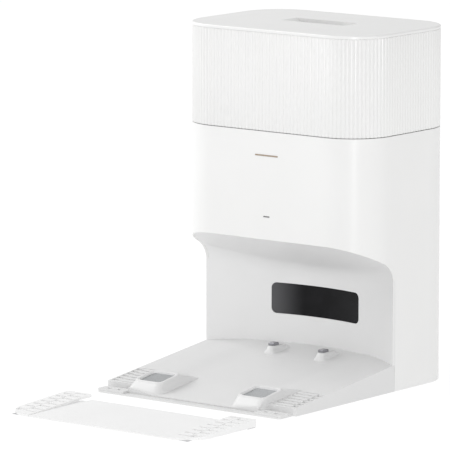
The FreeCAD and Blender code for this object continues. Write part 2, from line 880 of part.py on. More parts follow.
def compartment_deck():
    deck = body_prism(shell_wall + fit_gap, deck_low, seam_height)
    return deck.cut(chamber_block(chamber_wall, 0, dock_height))


def bag_chamber():
    tub = chamber_block(0, chamber_floor, deck_low)
    tub = tub.cut(chamber_block(chamber_wall, chamber_floor + chamber_wall, dock_height))
    tub = tub.cut(rod_x(0, body_width, port_y, port_z, port_radius))
    throat = upright(fan_x, fan_y, 0, dock_height, duct_tube_radius - duct_tube_wall)
    bars = []
    for step in (-1, 0, 1):
        y = fan_y + step * guard_bar_pitch - guard_bar_width / 2
        bars.append(block(fan_x - fan_radius, fan_x + fan_radius, y, y + guard_bar_width,
                          chamber_floor, chamber_floor + chamber_wall))
    return tub.cut(throat.cut(fused(bars)))


def inlet_filter():
    low = chamber_floor + chamber_wall
    return upright(fan_x, fan_y - filter_shift, low, low + filter_thickness, filter_radius)


def port_seal():
    return rod_x(chamber_half, riser_low_x, port_y, port_z, port_radius + port_seal_wall).cut(
        rod_x(chamber_half, riser_low_x, port_y, port_z, port_radius))


def collar_x():
    return chamber_half - chamber_wall - rail_thickness - moving_gap - collar_thickness


def bag_rails():
    """Grooved side rails and a foot that hold the bag's collar."""
    wall_x = chamber_half - chamber_wall
    face_x = collar_x() - moving_gap - rail_thickness
    low, high = port_z - collar_height / 2, seam_height - deck_thickness
    y_low, y_high = port_y - collar_width / 2, port_y + collar_width / 2
    rails = []
    for y_edge, direction in ((y_low, -1), (y_high, 1)):
        outer = y_edge + direction * (moving_gap + rail_thickness)
        near, far = sorted((y_edge + direction * moving_gap, outer))
        lap_near, lap_far = sorted((outer, y_edge - direction * rail_lap))
        rails.append(block(face_x, wall_x, near, far, low, high))
        rails.append(block(face_x, face_x + rail_thickness, lap_near, lap_far, low, high))
    foot = block(face_x, wall_x, y_low - moving_gap - rail_thickness, y_high + moving_gap + rail_thickness,
                 low - rail_thickness, low)
    back = block(wall_x - rail_thickness, wall_x, y_low - moving_gap, y_high + moving_gap, low, high)
    back = back.cut(rod_x(0, body_width, port_y, port_z, port_radius))
    return fused(rails + [foot, back])


def bag_collar():
    low, high = port_z - collar_height / 2 + moving_gap, port_z + collar_height / 2
    plate = block(collar_x(), collar_x() + collar_thickness, port_y - collar_width / 2,
                  port_y + collar_width / 2, low, high)
    return plate.cut(rod_x(0, body_width, port_y, port_z, port_radius))


def dust_bag():
    """The filled bag, closed, with its neck against the collar."""
    x_high = collar_x() - rail_thickness - 2 * moving_gap - over
    low = chamber_floor + chamber_wall + filter_thickness + bag_clearance / 2
    bag = rounded_block(-chamber_half + bag_clearance, x_high, chamber_front_y + bag_clearance,
                        chamber_rear_y - bag_clearance, low, deck_low - bag_clearance / 2, bag_corner)
    level = [edge for edge in bag.Edges if edge.BoundBox.ZLength < fit_gap]
    bag = bag.makeFillet(bag_corner * bag_rim_share, level)
    neck = rod_x(x_high - tool_margin / 2, collar_x(), port_y, port_z, port_radius + bag_neck_wall)
    return fused([bag, neck])


# ---------------------------------------------------------------- fan and ducts
def fan_housing():
    outer = upright(fan_x, fan_y, fan_low, fan_high, fan_radius)
    inner = upright(fan_x, fan_y, fan_low + fan_wall, fan_high - fan_wall, fan_radius - fan_wall)
    eye = upright(fan_x, fan_y, fan_high - 2 * fan_wall, fan_high + over, fan_inlet_radius)
    passage = upright(fan_x, fan_y, fan_low - over, fan_low + 2 * fan_wall, bearing_radius)
    vents = []
    for index in range(fan_outlets):
        angle = index * math.tau / fan_outlets
        x = fan_x + fan_outlet_ring * math.cos(angle)
        y = fan_y + fan_outlet_ring * math.sin(angle)
        vents.append(upright(x, y, fan_low - over, fan_low + 2 * fan_wall, fan_outlet_radius))
    return outer.cut(fused([inner, eye, passage])).cut(fused(vents))


def fan_inlet_duct():
    return tube(fan_x, fan_y, fan_high, chamber_floor, duct_tube_radius, duct_tube_radius - duct_tube_wall)


def motor_mount():
    return tube(fan_x, fan_y, motor_high, fan_low, motor_radius, motor_radius - mount_width)


def motor_can():
    return tube(fan_x, fan_y, motor_low, motor_high, motor_radius, bearing_radius)


def motor_bearings():
    rings = [tube(fan_x, fan_y, low, low + bearing_height, bearing_radius, shaft_radius + running_gap)
             for low in (motor_low + bearing_inset, motor_high - bearing_height - bearing_inset)]
    return Part.makeCompound(rings)


def motor_shaft():
    return upright(fan_x, fan_y, motor_low + shaft_inset, impeller_low + impeller_height / 2, shaft_radius)


def impeller():
    low = impeller_low
    disc = upright(fan_x, fan_y, low, low + impeller_disc, impeller_radius)
    hub = upright(fan_x, fan_y, low, low + impeller_hub_height, impeller_hub_radius)
    blades = []
    for index in range(impeller_blades):
        blade = block(fan_x + 2 * shaft_radius, fan_x + impeller_radius - over, fan_y - blade_thickness / 2,
                      fan_y + blade_thickness / 2, low, low + impeller_height)
        blade.rotate(V(fan_x, fan_y, 0), V(0, 0, 1), index * 360.0 / impeller_blades)
        blades.append(blade)
    return fused([disc, hub] + blades).cut(motor_shaft())


def lower_ducts():
    """Open channels under the floor, roofed by it, one from each vent."""
    x_low, x_high = vent_x - channel_half_width, vent_x + channel_half_width
    front = track_front_y + floor_skin + 2 * channel_wall
    outer = block(x_low, x_high, front, channel_rear_y, plate_top, bay_height)
    inner = block(x_low + channel_wall, x_high - channel_wall, front + channel_wall,
                  channel_rear_y + over, plate_top + channel_wall, bay_height)
    room = ramp_volume(floor_skin + fit_gap, floor_skin + fit_gap, floor_front_y, 0)
    channel = outer.cut(inner).common(room)
    return Part.makeCompound([channel, mirrored(channel)])


def cross_duct():
    """Gathers both channels behind the bay wall and feeds the riser."""
    y_low, y_high = cross_front_y, cross_front_y + cross_depth
    z_low, z_high = plate_top, plate_top + cross_height
    x_low, x_high = -vent_x - channel_half_width, riser_low_x
    snout = block(vent_x - channel_half_width, vent_x + channel_half_width,
                  snout_front_y, y_low + channel_wall, z_low, z_high)
    outer = fused([block(x_low, x_high, y_low, y_high, z_low, z_high), snout, mirrored(snout)])
    throat = block(vent_x - channel_half_width + channel_wall, vent_x + channel_half_width - channel_wall,
                   snout_front_y - over, y_low + 2 * channel_wall,
                   z_low + channel_wall, z_high - channel_wall)
    room = block(x_low + channel_wall, x_high + over, y_low + channel_wall, y_high - channel_wall,
                 z_low + channel_wall, z_high - channel_wall)
    return outer.cut(fused([room, throat, mirrored(throat)]))


def riser_duct():
    x_high = riser_low_x + riser_width
    y_high = riser_front_y + riser_depth
    outer = block(riser_low_x, x_high, riser_front_y, y_high, plate_top, riser_top)
    inner = block(riser_low_x + channel_wall, x_high - channel_wall, riser_front_y + channel_wall,
                  y_high - channel_wall, plate_top + channel_wall, riser_top - channel_wall)
    inlet = block(riser_low_x - over, riser_low_x + 2 * channel_wall, cross_front_y + channel_wall,
                  cross_front_y + cross_depth - channel_wall, plate_top + channel_wall,
                  plate_top + cross_height - channel_wall)
    outlet = rod_x(riser_low_x - over, riser_low_x + 2 * channel_wall, port_y, port_z, port_radius)
    return outer.cut(fused([inner, inlet])).cut(outlet)


def exhaust_filter():
    rear = ledge_front_y - fit_gap
    reach = louvre_half_width + exhaust_margin
    return block(fan_x - reach, fan_x + reach, rear - exhaust_thickness, rear,
                 exhaust_low, exhaust_low + louvre_count * louvre_pitch + exhaust_head)


# ---------------------------------------------------------------- electrics
def main_board():
    y = light_length + main_board_front_gap
    rear = y + board_thickness
    board = block(-main_board_half_width, main_board_half_width, y, rear,
                  chamber_floor + main_board_low_gap, seam_height - main_board_high_gap)
    middle = (chamber_floor + seam_height) / 2
    chips = [block(x, x + chip_size, rear, rear + chip_thickness, middle, middle + chip_size)
             for x in chip_places]
    return fused([board] + chips)


def power_board():
    y = power_board_y
    board = block(power_board_low_x, power_board_high_x, y, y + board_thickness,
                  power_board_low, power_board_high)
    x_low = power_board_low_x + transformer_margin
    z_low = power_board_low + transformer_rise
    transformer = block(x_low, x_low + transformer_width, y - transformer_depth, y,
                        z_low, z_low + transformer_height)
    z = power_board_low + capacitor_rise
    capacitors = [rod_y(x, y - capacitor_length, y, z, capacitor_radius) for x in capacitor_places]
    return fused([board, transformer] + capacitors)


def power_inlet():
    y_low = body_depth - inlet_length
    seat = body_depth - rear_cover_thickness

    def socket_block(grow, y_front, y_back):
        return block(inlet_x - inlet_half_width - grow, inlet_x + inlet_half_width + grow, y_front, y_back,
                     inlet_z - inlet_half_height - grow, inlet_z + inlet_half_height + grow)
    body = socket_block(0, y_low, body_depth)
    flange = socket_block(inlet_flange, seat - inlet_flange, seat)
    cavity = socket_block(-inlet_wall, body_depth - inlet_cavity_depth, body_depth + over)
    return fused([body, flange]).cut(cavity)


def inlet_pins():
    base = body_depth - inlet_cavity_depth
    return Part.makeCompound([rod_y(inlet_x + side * inlet_pin_spacing / 2, base, base + inlet_pin_length,
                                    inlet_z, inlet_pin_radius) for side in (-1, 1)])


def wiring_harness():
    board_y = power_board_y - lead_gap
    inlet_y = body_depth - inlet_length
    mains_z = power_board_low + lead_turn / 2
    mains = lead([(inlet_x, inlet_y, inlet_z), (inlet_x, inlet_y - lead_turn, inlet_z),
                  (inlet_x + lead_turn, inlet_y - lead_turn, inlet_z + lead_turn),
                  (mains_lead_x, board_y - lead_turn, mains_z),
                  (mains_lead_x, board_y, mains_z + lead_radius)], lead_radius)
    motor_side = fan_x + motor_radius
    motor = lead([(motor_lead_x, board_y, motor_lead_z + lead_turn + lead_radius),
                  (motor_lead_x, board_y - lead_turn, motor_lead_z + lead_turn),
                  (motor_lead_x - lead_turn, board_y - 2 * lead_turn, motor_lead_z + lead_turn / 2),
                  (motor_side + lead_turn / 2, fan_y, motor_lead_z),
                  (motor_side - over, fan_y, motor_lead_z)], lead_radius)
    return Part.makeCompound([mains, motor.cut(motor_can())])


# ---------------------------------------------------------------- cover
def cover_wall():
    return body_prism(0, wall_low, wall_high).cut(body_prism(cover_wall_thickness, 0, dock_height))


def top_plate():
    plate = body_prism(0, dock_height - top_thickness, dock_height)
    crown = [edge for edge in plate.Edges if edge.BoundBox.ZMin > dock_height - fit_gap]
    plate = plate.makeFillet(top_edge_radius, crown)
    neck = body_prism(reveal_depth, wall_high, dock_height - top_thickness)
    inset = cover_wall_thickness + fit_gap
    rim = body_prism(inset, wall_high - rim_depth, wall_high).cut(
        body_prism(inset + rim_thickness, 0, dock_height))
    cup = block(-scoop_half_width - scoop_wall, scoop_half_width + scoop_wall,
                scoop_front_y, scoop_rear_y + scoop_undercut + scoop_wall,
                dock_height - scoop_depth - scoop_wall, dock_height - top_thickness)
    return fused([plate, neck, rim, cup]).cut(scoop_volume())


def scoop_volume():
    """Finger scoop: an undercut rear wall, a front that curves down to it and tapered ends."""
    bottom, above = dock_height - scoop_depth, dock_height + over
    slope = []
    for step in range(scoop_steps, 0, -1):
        share = step / scoop_steps
        y = scoop_front_y + (scoop_length - scoop_toe) * share
        slope.append((y, dock_height - scoop_depth * share ** 2))
    outline = [(scoop_front_y, dock_height), (scoop_front_y, above), (scoop_rear_y, above),
               (scoop_rear_y, dock_height), (scoop_rear_y + scoop_undercut, bottom)] + slope
    trough = side_prism(-scoop_half_width, scoop_half_width, outline)
    inner = scoop_half_width - scoop_taper
    ends = [(-scoop_half_width, above), (-scoop_half_width, dock_height), (-inner, bottom),
            (inner, bottom), (scoop_half_width, dock_height), (scoop_half_width, above)]
    corners = [V(x, scoop_front_y, z) for x, z in ends]
    tapered = Part.Face(Part.makePolygon(corners + corners[:1])).extrude(
        V(0, scoop_length + scoop_undercut, 0))
    return trough.common(tapered)


def cover_flange():
    low = wall_low + gasket_thickness
    plate = body_prism(cover_wall_thickness, low, low + cover_flange_thickness)
    return plate.cut(chamber_block(0, 0, dock_height))


def cover_gasket():
    ring = chamber_block(-gasket_width, seam_height + fit_gap, wall_low + gasket_thickness)
    return ring.cut(chamber_block(0, 0, dock_height))


def magnet_pair(z_low):
    front = shell_wall + magnet_wall_gap
    pair = [block(x - magnet_width / 2, x + magnet_width / 2, front, front + magnet_depth,
                  z_low, z_low + magnet_thickness) for x in (-magnet_x, magnet_x)]
    return Part.makeCompound(pair)


def cover_magnets():
    return magnet_pair(wall_low + gasket_thickness - magnet_thickness)


def deck_magnets():
    return magnet_pair(deck_low - magnet_thickness)


def cover_hinges():
    x_low, x_high = hinge_x - hinge_cover_width / 2, hinge_x + hinge_cover_width / 2
    leaf = block(x_low, x_high, body_depth, body_depth + hinge_leaf, wall_low, hinge_z + hinge_leaf_height)
    web = block(x_low, x_high, body_depth, hinge_y, hinge_z + hinge_pin_radius,
                hinge_z + hinge_barrel_radius)
    bore = rod_x(x_low, x_high, hinge_y, hinge_z, hinge_pin_radius + running_gap)
    knuckle = fused([leaf, web, hinge_barrel(x_low, x_high, hinge_pin_radius + running_gap)]).cut(bore)
    return Part.makeCompound([knuckle, mirrored(knuckle)])


# ---------------------------------------------------------------- ramp plate
def plate_low(y):
    share = (y - plate_front_y) / plate_length
    return plate_low_front + (plate_low_rear - plate_low_front) * share


def wedge_top(y):
    share = (y - plate_front_y) / (ramp_rear_y - plate_front_y)
    return ramp_front_height + (ramp_rear_height - ramp_front_height) * share


def plate_outline(inset, rear_y, z_high):
    """The ramp plate's plan outline, rounded at the two front corners only."""
    reach = half_width - inset
    solid = rounded_block(-reach, reach, plate_front_y + inset, rear_y + 2 * plate_corner,
                          plate_low_front, z_high, plate_corner - inset)
    return solid.cut(block(-body_width, body_width, rear_y, 0, 0, bay_height))


def ramp_sheet():
    inner = half_width - ramp_track_width
    slab = sloped_slab(-inner, inner, plate_front_y, plate_rear_y, plate_low, plate_skin)
    corner = block(block_x_low - docking_gap, half_width,
                   block_front_y - docking_gap - docking_travel, 0, 0, bay_height)
    return slab.common(plate_outline(0, plate_rear_y, bay_height)).cut(fused([corner, mirrored(corner)]))


def ramp_track():
    """One hollow wedge of the ramp plate, with its sunk tread."""
    inner = half_width - ramp_track_width
    limits = [(plate_front_y, plate_low_front), (ramp_rear_y, plate_low_front),
              (ramp_rear_y, wedge_top(ramp_rear_y)), (plate_front_y, wedge_top(plate_front_y))]
    wedge = side_prism(inner, half_width, limits).common(plate_outline(0, ramp_rear_y, bay_height))
    front, rear = plate_front_y + ramp_pad, ramp_rear_y + over
    roof_rear = wedge_top(ramp_rear_y) - ramp_skin - tread_depth
    hollow = side_prism(inner + ramp_side, half_width - ramp_side,
                        [(front, 0), (rear, 0), (rear, roof_rear), (front, ramp_roof_front)])
    hollow = hollow.common(plate_outline(ramp_side, rear, bay_height))
    notch = block(inner - over, half_width - ramp_side, ramp_rear_y - ramp_notch_length, rear,
                  0, ramp_notch_height)
    lowered = side_prism(inner, half_width, [(y, z - tread_depth) for y, z in limits])
    wedge = wedge.cut(fused([hollow, notch]))
    pocket, bars = ramp_tread(inner)
    return sunk_tread(wedge, lowered, pocket, bars)


def ramp_tread(inner):
    """Pocket and two staggered columns of bars."""
    rear = ramp_rear_y - ramp_tread_rear_margin
    front = rear - ramp_rows * ramp_bar_pitch
    x_low = inner + ramp_side
    pocket = block(x_low, x_low + ramp_bar_long + ramp_bar_short, front, rear, 0, bay_height)
    bars = []
    for row in range(ramp_rows):
        y = front + row * ramp_bar_pitch
        long_y = y + (ramp_bar_pitch - ramp_bar_width) / 2
        bars.append(block(x_low, x_low + ramp_bar_long - ramp_bar_gap, long_y, long_y + ramp_bar_width,
                          0, bay_height))
        short_y = long_y + ramp_bar_pitch / 2
        bars.append(block(x_low + ramp_bar_long, x_low + ramp_bar_long + ramp_bar_short,
                          short_y, short_y + ramp_bar_width, 0, bay_height))
    return pocket, bars


def ramp_feet():
    pads = []
    for side in (-1, 1):
        x = side * (half_width - ramp_track_width / 2)
        pads.append(block(x - ramp_pad / 2, x + ramp_pad / 2, plate_front_y + ramp_pad_front_margin,
                          plate_front_y + ramp_pad - ramp_pad_rear_margin, 0, plate_low_front))
        wall_x = side * (half_width - ramp_side / 2)
        pads.append(block(wall_x - ramp_side / 2, wall_x + ramp_side / 2, ramp_rear_y - ramp_pad,
                          ramp_rear_y - ramp_pad_rear_margin, 0, plate_low_front))
    return Part.makeCompound(pads)


# ---------------------------------------------------------------- export
def both_sides(name, shape):
    return {name + "_right": shape, name + "_left": mirrored(shape)}


nodes = {
    "outer_shell": outer_shell(), "recess_liner": recess_liner(), "infrared_window": infrared_window(),
    "infrared_board": infrared_board(), "rear_cover": rear_cover(), "case_screws": case_screws(),
    "status_light": status_light(), "badge_bar": badge_bar(), "hinge_brackets": hinge_brackets(),
    "hinge_pins": hinge_pins(), "base_ramp": base_ramp(), "base_bottom": base_bottom(),
    "dock_feet": dock_feet(), "contact_carrier": contact_carrier(),
    "compartment_deck": compartment_deck(), "bag_chamber": bag_chamber(), "inlet_filter": inlet_filter(),
    "port_seal": port_seal(), "bag_rails": bag_rails(), "bag_collar": bag_collar(), "dust_bag": dust_bag(),
    "fan_housing": fan_housing(), "fan_inlet_duct": fan_inlet_duct(), "motor_mount": motor_mount(),
    "motor_can": motor_can(), "motor_bearings": motor_bearings(), "motor_shaft": motor_shaft(),
    "impeller": impeller(), "lower_ducts": lower_ducts(), "cross_duct": cross_duct(),
    "riser_duct": riser_duct(), "exhaust_filter": exhaust_filter(), "main_board": main_board(),
    "power_board": power_board(), "power_inlet": power_inlet(), "inlet_pins": inlet_pins(),
    "wiring_harness": wiring_harness(), "cover_wall": cover_wall(), "top_plate": top_plate(),
    "cover_flange": cover_flange(), "cover_gasket": cover_gasket(), "cover_magnets": cover_magnets(),
    "deck_magnets": deck_magnets(), "cover_hinges": cover_hinges(), "ramp_sheet": ramp_sheet(),
    "ramp_feet": ramp_feet(),
}
for name, shape in (("vent_housing", vent_housing()), ("vent_seal", vent_seal()),
                    ("vent_grille", vent_grille()), ("contact_pod", contact_pod()),
                    ("charging_contact", charging_contact()),
                    ("contact_spring", contact_spring()), ("ramp_track", ramp_track())):
    nodes.update(both_sides(name, shape))

os.makedirs("parts", exist_ok=True)
for name, shape in nodes.items():
    placed = shape.copy()
    placed.translate(V(0, frame_shift, 0))
    placed.exportStep("parts/" + name + ".step")
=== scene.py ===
"""Looks of a robot vacuum's charging and dust-emptying dock, with its loose ramp plate.

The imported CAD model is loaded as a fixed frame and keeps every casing, duct, board and
bracket where it is. This script dresses each of them in a procedural finish, and makes
anew what needs finer form: the fluted cover wall, the dust vents and their grilles, the
contact pods, the springs, the screws, the fan's wheel, the pleated filter and the bag.

Lengths are metres in the row frame: +Z up, +Y from the ramp plate to the back of the dock.
"""
import json
import logging
import math
from collections.abc import Callable, Sequence
from dataclasses import dataclass
from enum import Enum
from typing import ClassVar

import bmesh
import bpy
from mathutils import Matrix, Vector


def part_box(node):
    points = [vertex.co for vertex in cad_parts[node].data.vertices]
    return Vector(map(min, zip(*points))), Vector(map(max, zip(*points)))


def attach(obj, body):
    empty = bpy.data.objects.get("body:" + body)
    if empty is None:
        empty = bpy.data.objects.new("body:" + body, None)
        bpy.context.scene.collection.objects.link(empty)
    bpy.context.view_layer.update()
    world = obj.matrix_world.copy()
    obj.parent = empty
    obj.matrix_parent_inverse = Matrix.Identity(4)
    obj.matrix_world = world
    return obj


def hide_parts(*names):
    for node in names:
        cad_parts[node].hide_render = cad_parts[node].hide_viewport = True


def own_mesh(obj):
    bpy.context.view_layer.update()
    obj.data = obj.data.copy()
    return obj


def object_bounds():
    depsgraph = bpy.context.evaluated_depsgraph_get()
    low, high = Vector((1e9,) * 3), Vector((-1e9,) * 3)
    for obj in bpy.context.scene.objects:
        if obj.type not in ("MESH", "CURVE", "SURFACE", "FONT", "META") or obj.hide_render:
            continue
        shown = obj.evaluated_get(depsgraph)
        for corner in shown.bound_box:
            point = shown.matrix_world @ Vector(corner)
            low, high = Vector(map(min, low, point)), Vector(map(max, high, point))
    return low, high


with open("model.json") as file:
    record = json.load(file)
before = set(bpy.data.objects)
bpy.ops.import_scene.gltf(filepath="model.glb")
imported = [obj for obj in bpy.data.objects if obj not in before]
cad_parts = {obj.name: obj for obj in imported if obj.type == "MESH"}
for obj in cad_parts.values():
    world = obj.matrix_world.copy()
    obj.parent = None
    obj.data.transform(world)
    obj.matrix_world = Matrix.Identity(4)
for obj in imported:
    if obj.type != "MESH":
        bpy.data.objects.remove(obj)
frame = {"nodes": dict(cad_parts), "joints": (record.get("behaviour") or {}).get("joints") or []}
CAD_BOX = [list(corner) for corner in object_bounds()]
MM = 0.001
PLASTIC_IOR = 1.5

log = logging.getLogger("dock")

Triple = tuple[float, float, float]
Colour = Triple
Settings = dict[str, object]
Height = Callable[[float, float], float]


# ---------------------------------------------------------------- node expressions
class Value:
    """A node socket that takes part in Python expressions."""

    def __init__(self, tree: bpy.types.NodeTree, socket: bpy.types.NodeSocket) -> None:
        """Wraps one output socket of a tree."""
        self.tree = tree
        self.socket = socket

    def math(self, operation: str, *terms: "Value | float") -> "Value":
        """Adds a Math node.

        Args:
            operation: the node's operation, such as "ADD".
            terms: what its sockets take, in order.

        Returns:
            The node's result.
        """
        node = self.tree.nodes.new("ShaderNodeMath")
        node.operation = operation
        for socket, term in zip(node.inputs, terms):
            feed(self.tree, socket, term)
        return Value(self.tree, node.outputs[0])

    def __add__(self, other: "Value | float") -> "Value":
        """self + other."""
        return self.math("ADD", self, other)

    def __radd__(self, other: float) -> "Value":
        """other + self."""
        return self.math("ADD", other, self)

    def __sub__(self, other: "Value | float") -> "Value":
        """self - other."""
        return self.math("SUBTRACT", self, other)

    def __rsub__(self, other: float) -> "Value":
        """other - self."""
        return self.math("SUBTRACT", other, self)

    def __mul__(self, other: "Value | float") -> "Value":
        """self * other."""
        return self.math("MULTIPLY", self, other)

    def __rmul__(self, other: float) -> "Value":
        """other * self."""
        return self.math("MULTIPLY", other, self)

    def __truediv__(self, other: "Value | float") -> "Value":
        """self / other."""
        return self.math("DIVIDE", self, other)

    def __rtruediv__(self, other: float) -> "Value":
        """other / self."""
        return self.math("DIVIDE", other, self)

    def __mod__(self, other: "Value | float") -> "Value":
        """What is left of self after whole shares of the other."""
        return self.math("MODULO", self, other)

    def __rmod__(self, other: float) -> "Value":
        """What is left of the other after whole shares of self."""
        return self.math("MODULO", other, self)

    def __pow__(self, other: "Value | float") -> "Value":
        """self to the power other."""
        return self.math("POWER", self, other)

    def __abs__(self) -> "Value":
        """The absolute value."""
        return self.math("ABSOLUTE", self)

    def fraction(self) -> "Value":
        """What is left after the whole part."""
        return self.math("FRACT", self)

    def floor(self) -> "Value":
        """The whole part."""
        return self.math("FLOOR", self)

    def arctangent(self) -> "Value":
        """The angle in radians that has this tangent."""
        return self.math("ARCTANGENT", self)

    def cosine(self) -> "Value":
        """The cosine of an angle in radians."""
        return self.math("COSINE", self)

    def sine(self) -> "Value":
        """The sine of an angle in radians."""
        return self.math("SINE", self)

    def step(self, low: float, high: float) -> "Value":
        """A smooth rise from 0 at low to 1 at high.

        Args:
            low: where the rise starts.
            high: where it ends.

        Returns:
            The smoothed value.
        """
        node = self.tree.nodes.new("ShaderNodeMapRange")
        node.interpolation_type = "SMOOTHSTEP"
        for socket, term in zip(node.inputs, (self, low, high)):
            feed(self.tree, socket, term)
        return Value(self.tree, node.outputs[0])


def feed(tree: bpy.types.NodeTree, socket: bpy.types.NodeSocket, value: object) -> None:
    """Links a Value to a socket, or sets the socket's own number, colour or data.

    Args:
        tree: the tree that holds both.
        socket: the input socket.
        value: a Value, or what the socket's default takes.
    """
    if isinstance(value, Value):
        tree.links.new(value.socket, socket)
    elif socket.type == "RGBA" and len(value) == 3:
        socket.default_value = (*value, 1.0)
    else:
        socket.default_value = value


class Node:
    """A node whose sockets are found by name."""

    def __init__(self, tree: bpy.types.NodeTree, node: bpy.types.Node) -> None:
        """Wraps one node of a tree."""
        self.tree = tree
        self.node = node

    def out(self, name: str | None = None) -> Value:
        """The output of that name, or the first that is in use.

        Args:
            name: the output's name, or None for the first.

        Returns:
            The output as a value.
        """
        live = [s for s in self.node.outputs if s.enabled and name in (None, s.name)]
        return Value(self.tree, live[0])


class Tree:
    """Adds nodes to one tree, for finishes and for made geometry alike."""

    def __init__(self, tree: bpy.types.NodeTree) -> None:
        """Wraps a node tree."""
        self.tree = tree

    def add(self, kind: str, settings: Settings | None = None, sockets: dict | None = None) -> Node:
        """Adds a node.

        Args:
            kind: the node's type name.
            settings: its own properties, and "stops" for a colour ramp, set first.
            sockets: what its input sockets take, by name or index.

        Returns:
            The node.
        """
        node = self.tree.nodes.new(kind)
        for name, setting in (settings or {}).items():
            if name == "stops":
                self._set_stops(node, setting)
            elif name == "captured":
                node.capture_items.clear()
                for item, socket_type in setting.items():
                    node.capture_items.new(socket_type, item)
            else:
                setattr(node, name, setting)
        for key, value in (sockets or {}).items():
            socket = node.inputs[key] if isinstance(key, int) else next(
                s for s in node.inputs if s.enabled and s.name == key)
            for term in value if isinstance(value, list) else [value]:
                feed(self.tree, socket, term)
        return Node(self.tree, node)

    @staticmethod
    def _set_stops(node: bpy.types.Node, stops: Sequence[tuple[float, Colour]]) -> None:
        """Sets a colour ramp's stops.

        Args:
            node: the colour ramp.
            stops: a place and a colour for each.
        """
        elements = node.color_ramp.elements
        while len(elements) < len(stops):
            elements.new(0.5)
        for element, (place, colour) in zip(elements, stops):
            element.position = place
            element.color = (*colour, 1.0)

    def vector(self, operation: str, *terms: "Value | Sequence[float]") -> Value:
        """A Vector Math node's result.

        Args:
            operation: the node's operation.
            terms: what its sockets take, in order.

        Returns:
            The vector, or the number for operations such as DOT_PRODUCT.
        """
        return self.add("ShaderNodeVectorMath", {"operation": operation}, dict(enumerate(terms))).out()

    def scaled(self, vector: "Value | Sequence[float]", share: "Value | float") -> Value:
        """A vector times a number."""
        return self.add("ShaderNodeVectorMath", {"operation": "SCALE"},
                        {"Vector": vector, "Scale": share}).out()

    def combine(self, x: "Value | float", y: "Value | float", z: "Value | float") -> Value:
        """A vector from three numbers."""
        return self.add("ShaderNodeCombineXYZ", None, {"X": x, "Y": y, "Z": z}).out()

    def split(self, vector: Value) -> tuple[Value, Value, Value]:
        """The three numbers of a vector."""
        node = self.add("ShaderNodeSeparateXYZ", None, {"Vector": vector})
        return node.out("X"), node.out("Y"), node.out("Z")


# ---------------------------------------------------------------- finishes
class Shader(Tree):
    """A material's tree: Object coordinates in, one Principled surface out."""

    def __init__(self, name: str) -> None:
        """Starts a material of that name."""
        self.material = bpy.data.materials.new(name)
        self.material.use_nodes = True
        super().__init__(self.material.node_tree)
        self.tree.nodes.clear()
        self.place = self.add("ShaderNodeTexCoord").out("Object")

    def stretched(self, x: float, y: float, z: float) -> Value:
        """Object coordinates multiplied along each axis."""
        return self.vector("MULTIPLY", self.place, (x, y, z))

    def noise(self, size: float, detail: float = 2.0, at: Value | None = None) -> Value:
        """Cloudy variation about 0.5.

        Args:
            size: the width of its patches.
            detail: how many finer layers it has.
            at: the coordinates, or None for Object coordinates.

        Returns:
            A number from 0 to 1.
        """
        return self.add("ShaderNodeTexNoise", {"noise_dimensions": "3D"},
                        {"Vector": at or self.place, "Scale": 1.0 / size, "Detail": detail}).out("Fac")

    def cells(self, size: float, feature: str = "F1") -> Value:
        """Distance to the nearest cell centre, or to the nearest border.

        Args:
            size: the width of a cell.
            feature: the node's feature, "F1" or "DISTANCE_TO_EDGE".

        Returns:
            The distance in cells.
        """
        return self.add("ShaderNodeTexVoronoi", {"feature": feature},
                        {"Vector": self.place, "Scale": 1.0 / size}).out("Distance")

    def blend(self, share: "Value | float", first: "Value | Colour", second: "Value | Colour") -> Value:
        """A colour between two colours."""
        return self.add("ShaderNodeMix", {"data_type": "RGBA"},
                        {"Factor": share, "A": first, "B": second}).out("Result")

    def tinted(self, colour: Colour, share: Value, reach: float) -> Value:
        """A colour that drifts a little darker and lighter.

        Args:
            colour: the middle colour.
            share: what drives the drift, about 0.5.
            reach: how far it goes, as a share of the colour.

        Returns:
            The varied colour.
        """
        low = tuple(channel * (1.0 - reach) for channel in colour)
        high = tuple(min(1.0, channel * (1.0 + reach)) for channel in colour)
        return self.blend(share.step(0.3, 0.7), low, high)

    def relief(self, height: Value, depth: float, onto: Value | None = None) -> Value:
        """A Bump node's normal.

        Args:
            height: the relief, from 0 to 1.
            depth: its height in metres.
            onto: a normal from another relief, under this one.

        Returns:
            The bumped normal.
        """
        sockets = {"Height": height, "Distance": depth, "Strength": 1.0}
        if onto is not None:
            sockets["Normal"] = onto
        return self.add("ShaderNodeBump", None, sockets).out("Normal")

    def surface(self, sockets: dict) -> bpy.types.Material:
        """Ends the tree in a Principled surface.

        Args:
            sockets: the surface's sockets.

        Returns:
            The finished material.
        """
        surface = self.add("ShaderNodeBsdfPrincipled", None, sockets)
        self.add("ShaderNodeOutputMaterial", None, {"Surface": surface.out("BSDF")})
        base = surface.node.inputs["Base Color"]
        if not base.is_linked:
            self.material.diffuse_color = base.default_value
        return self.material


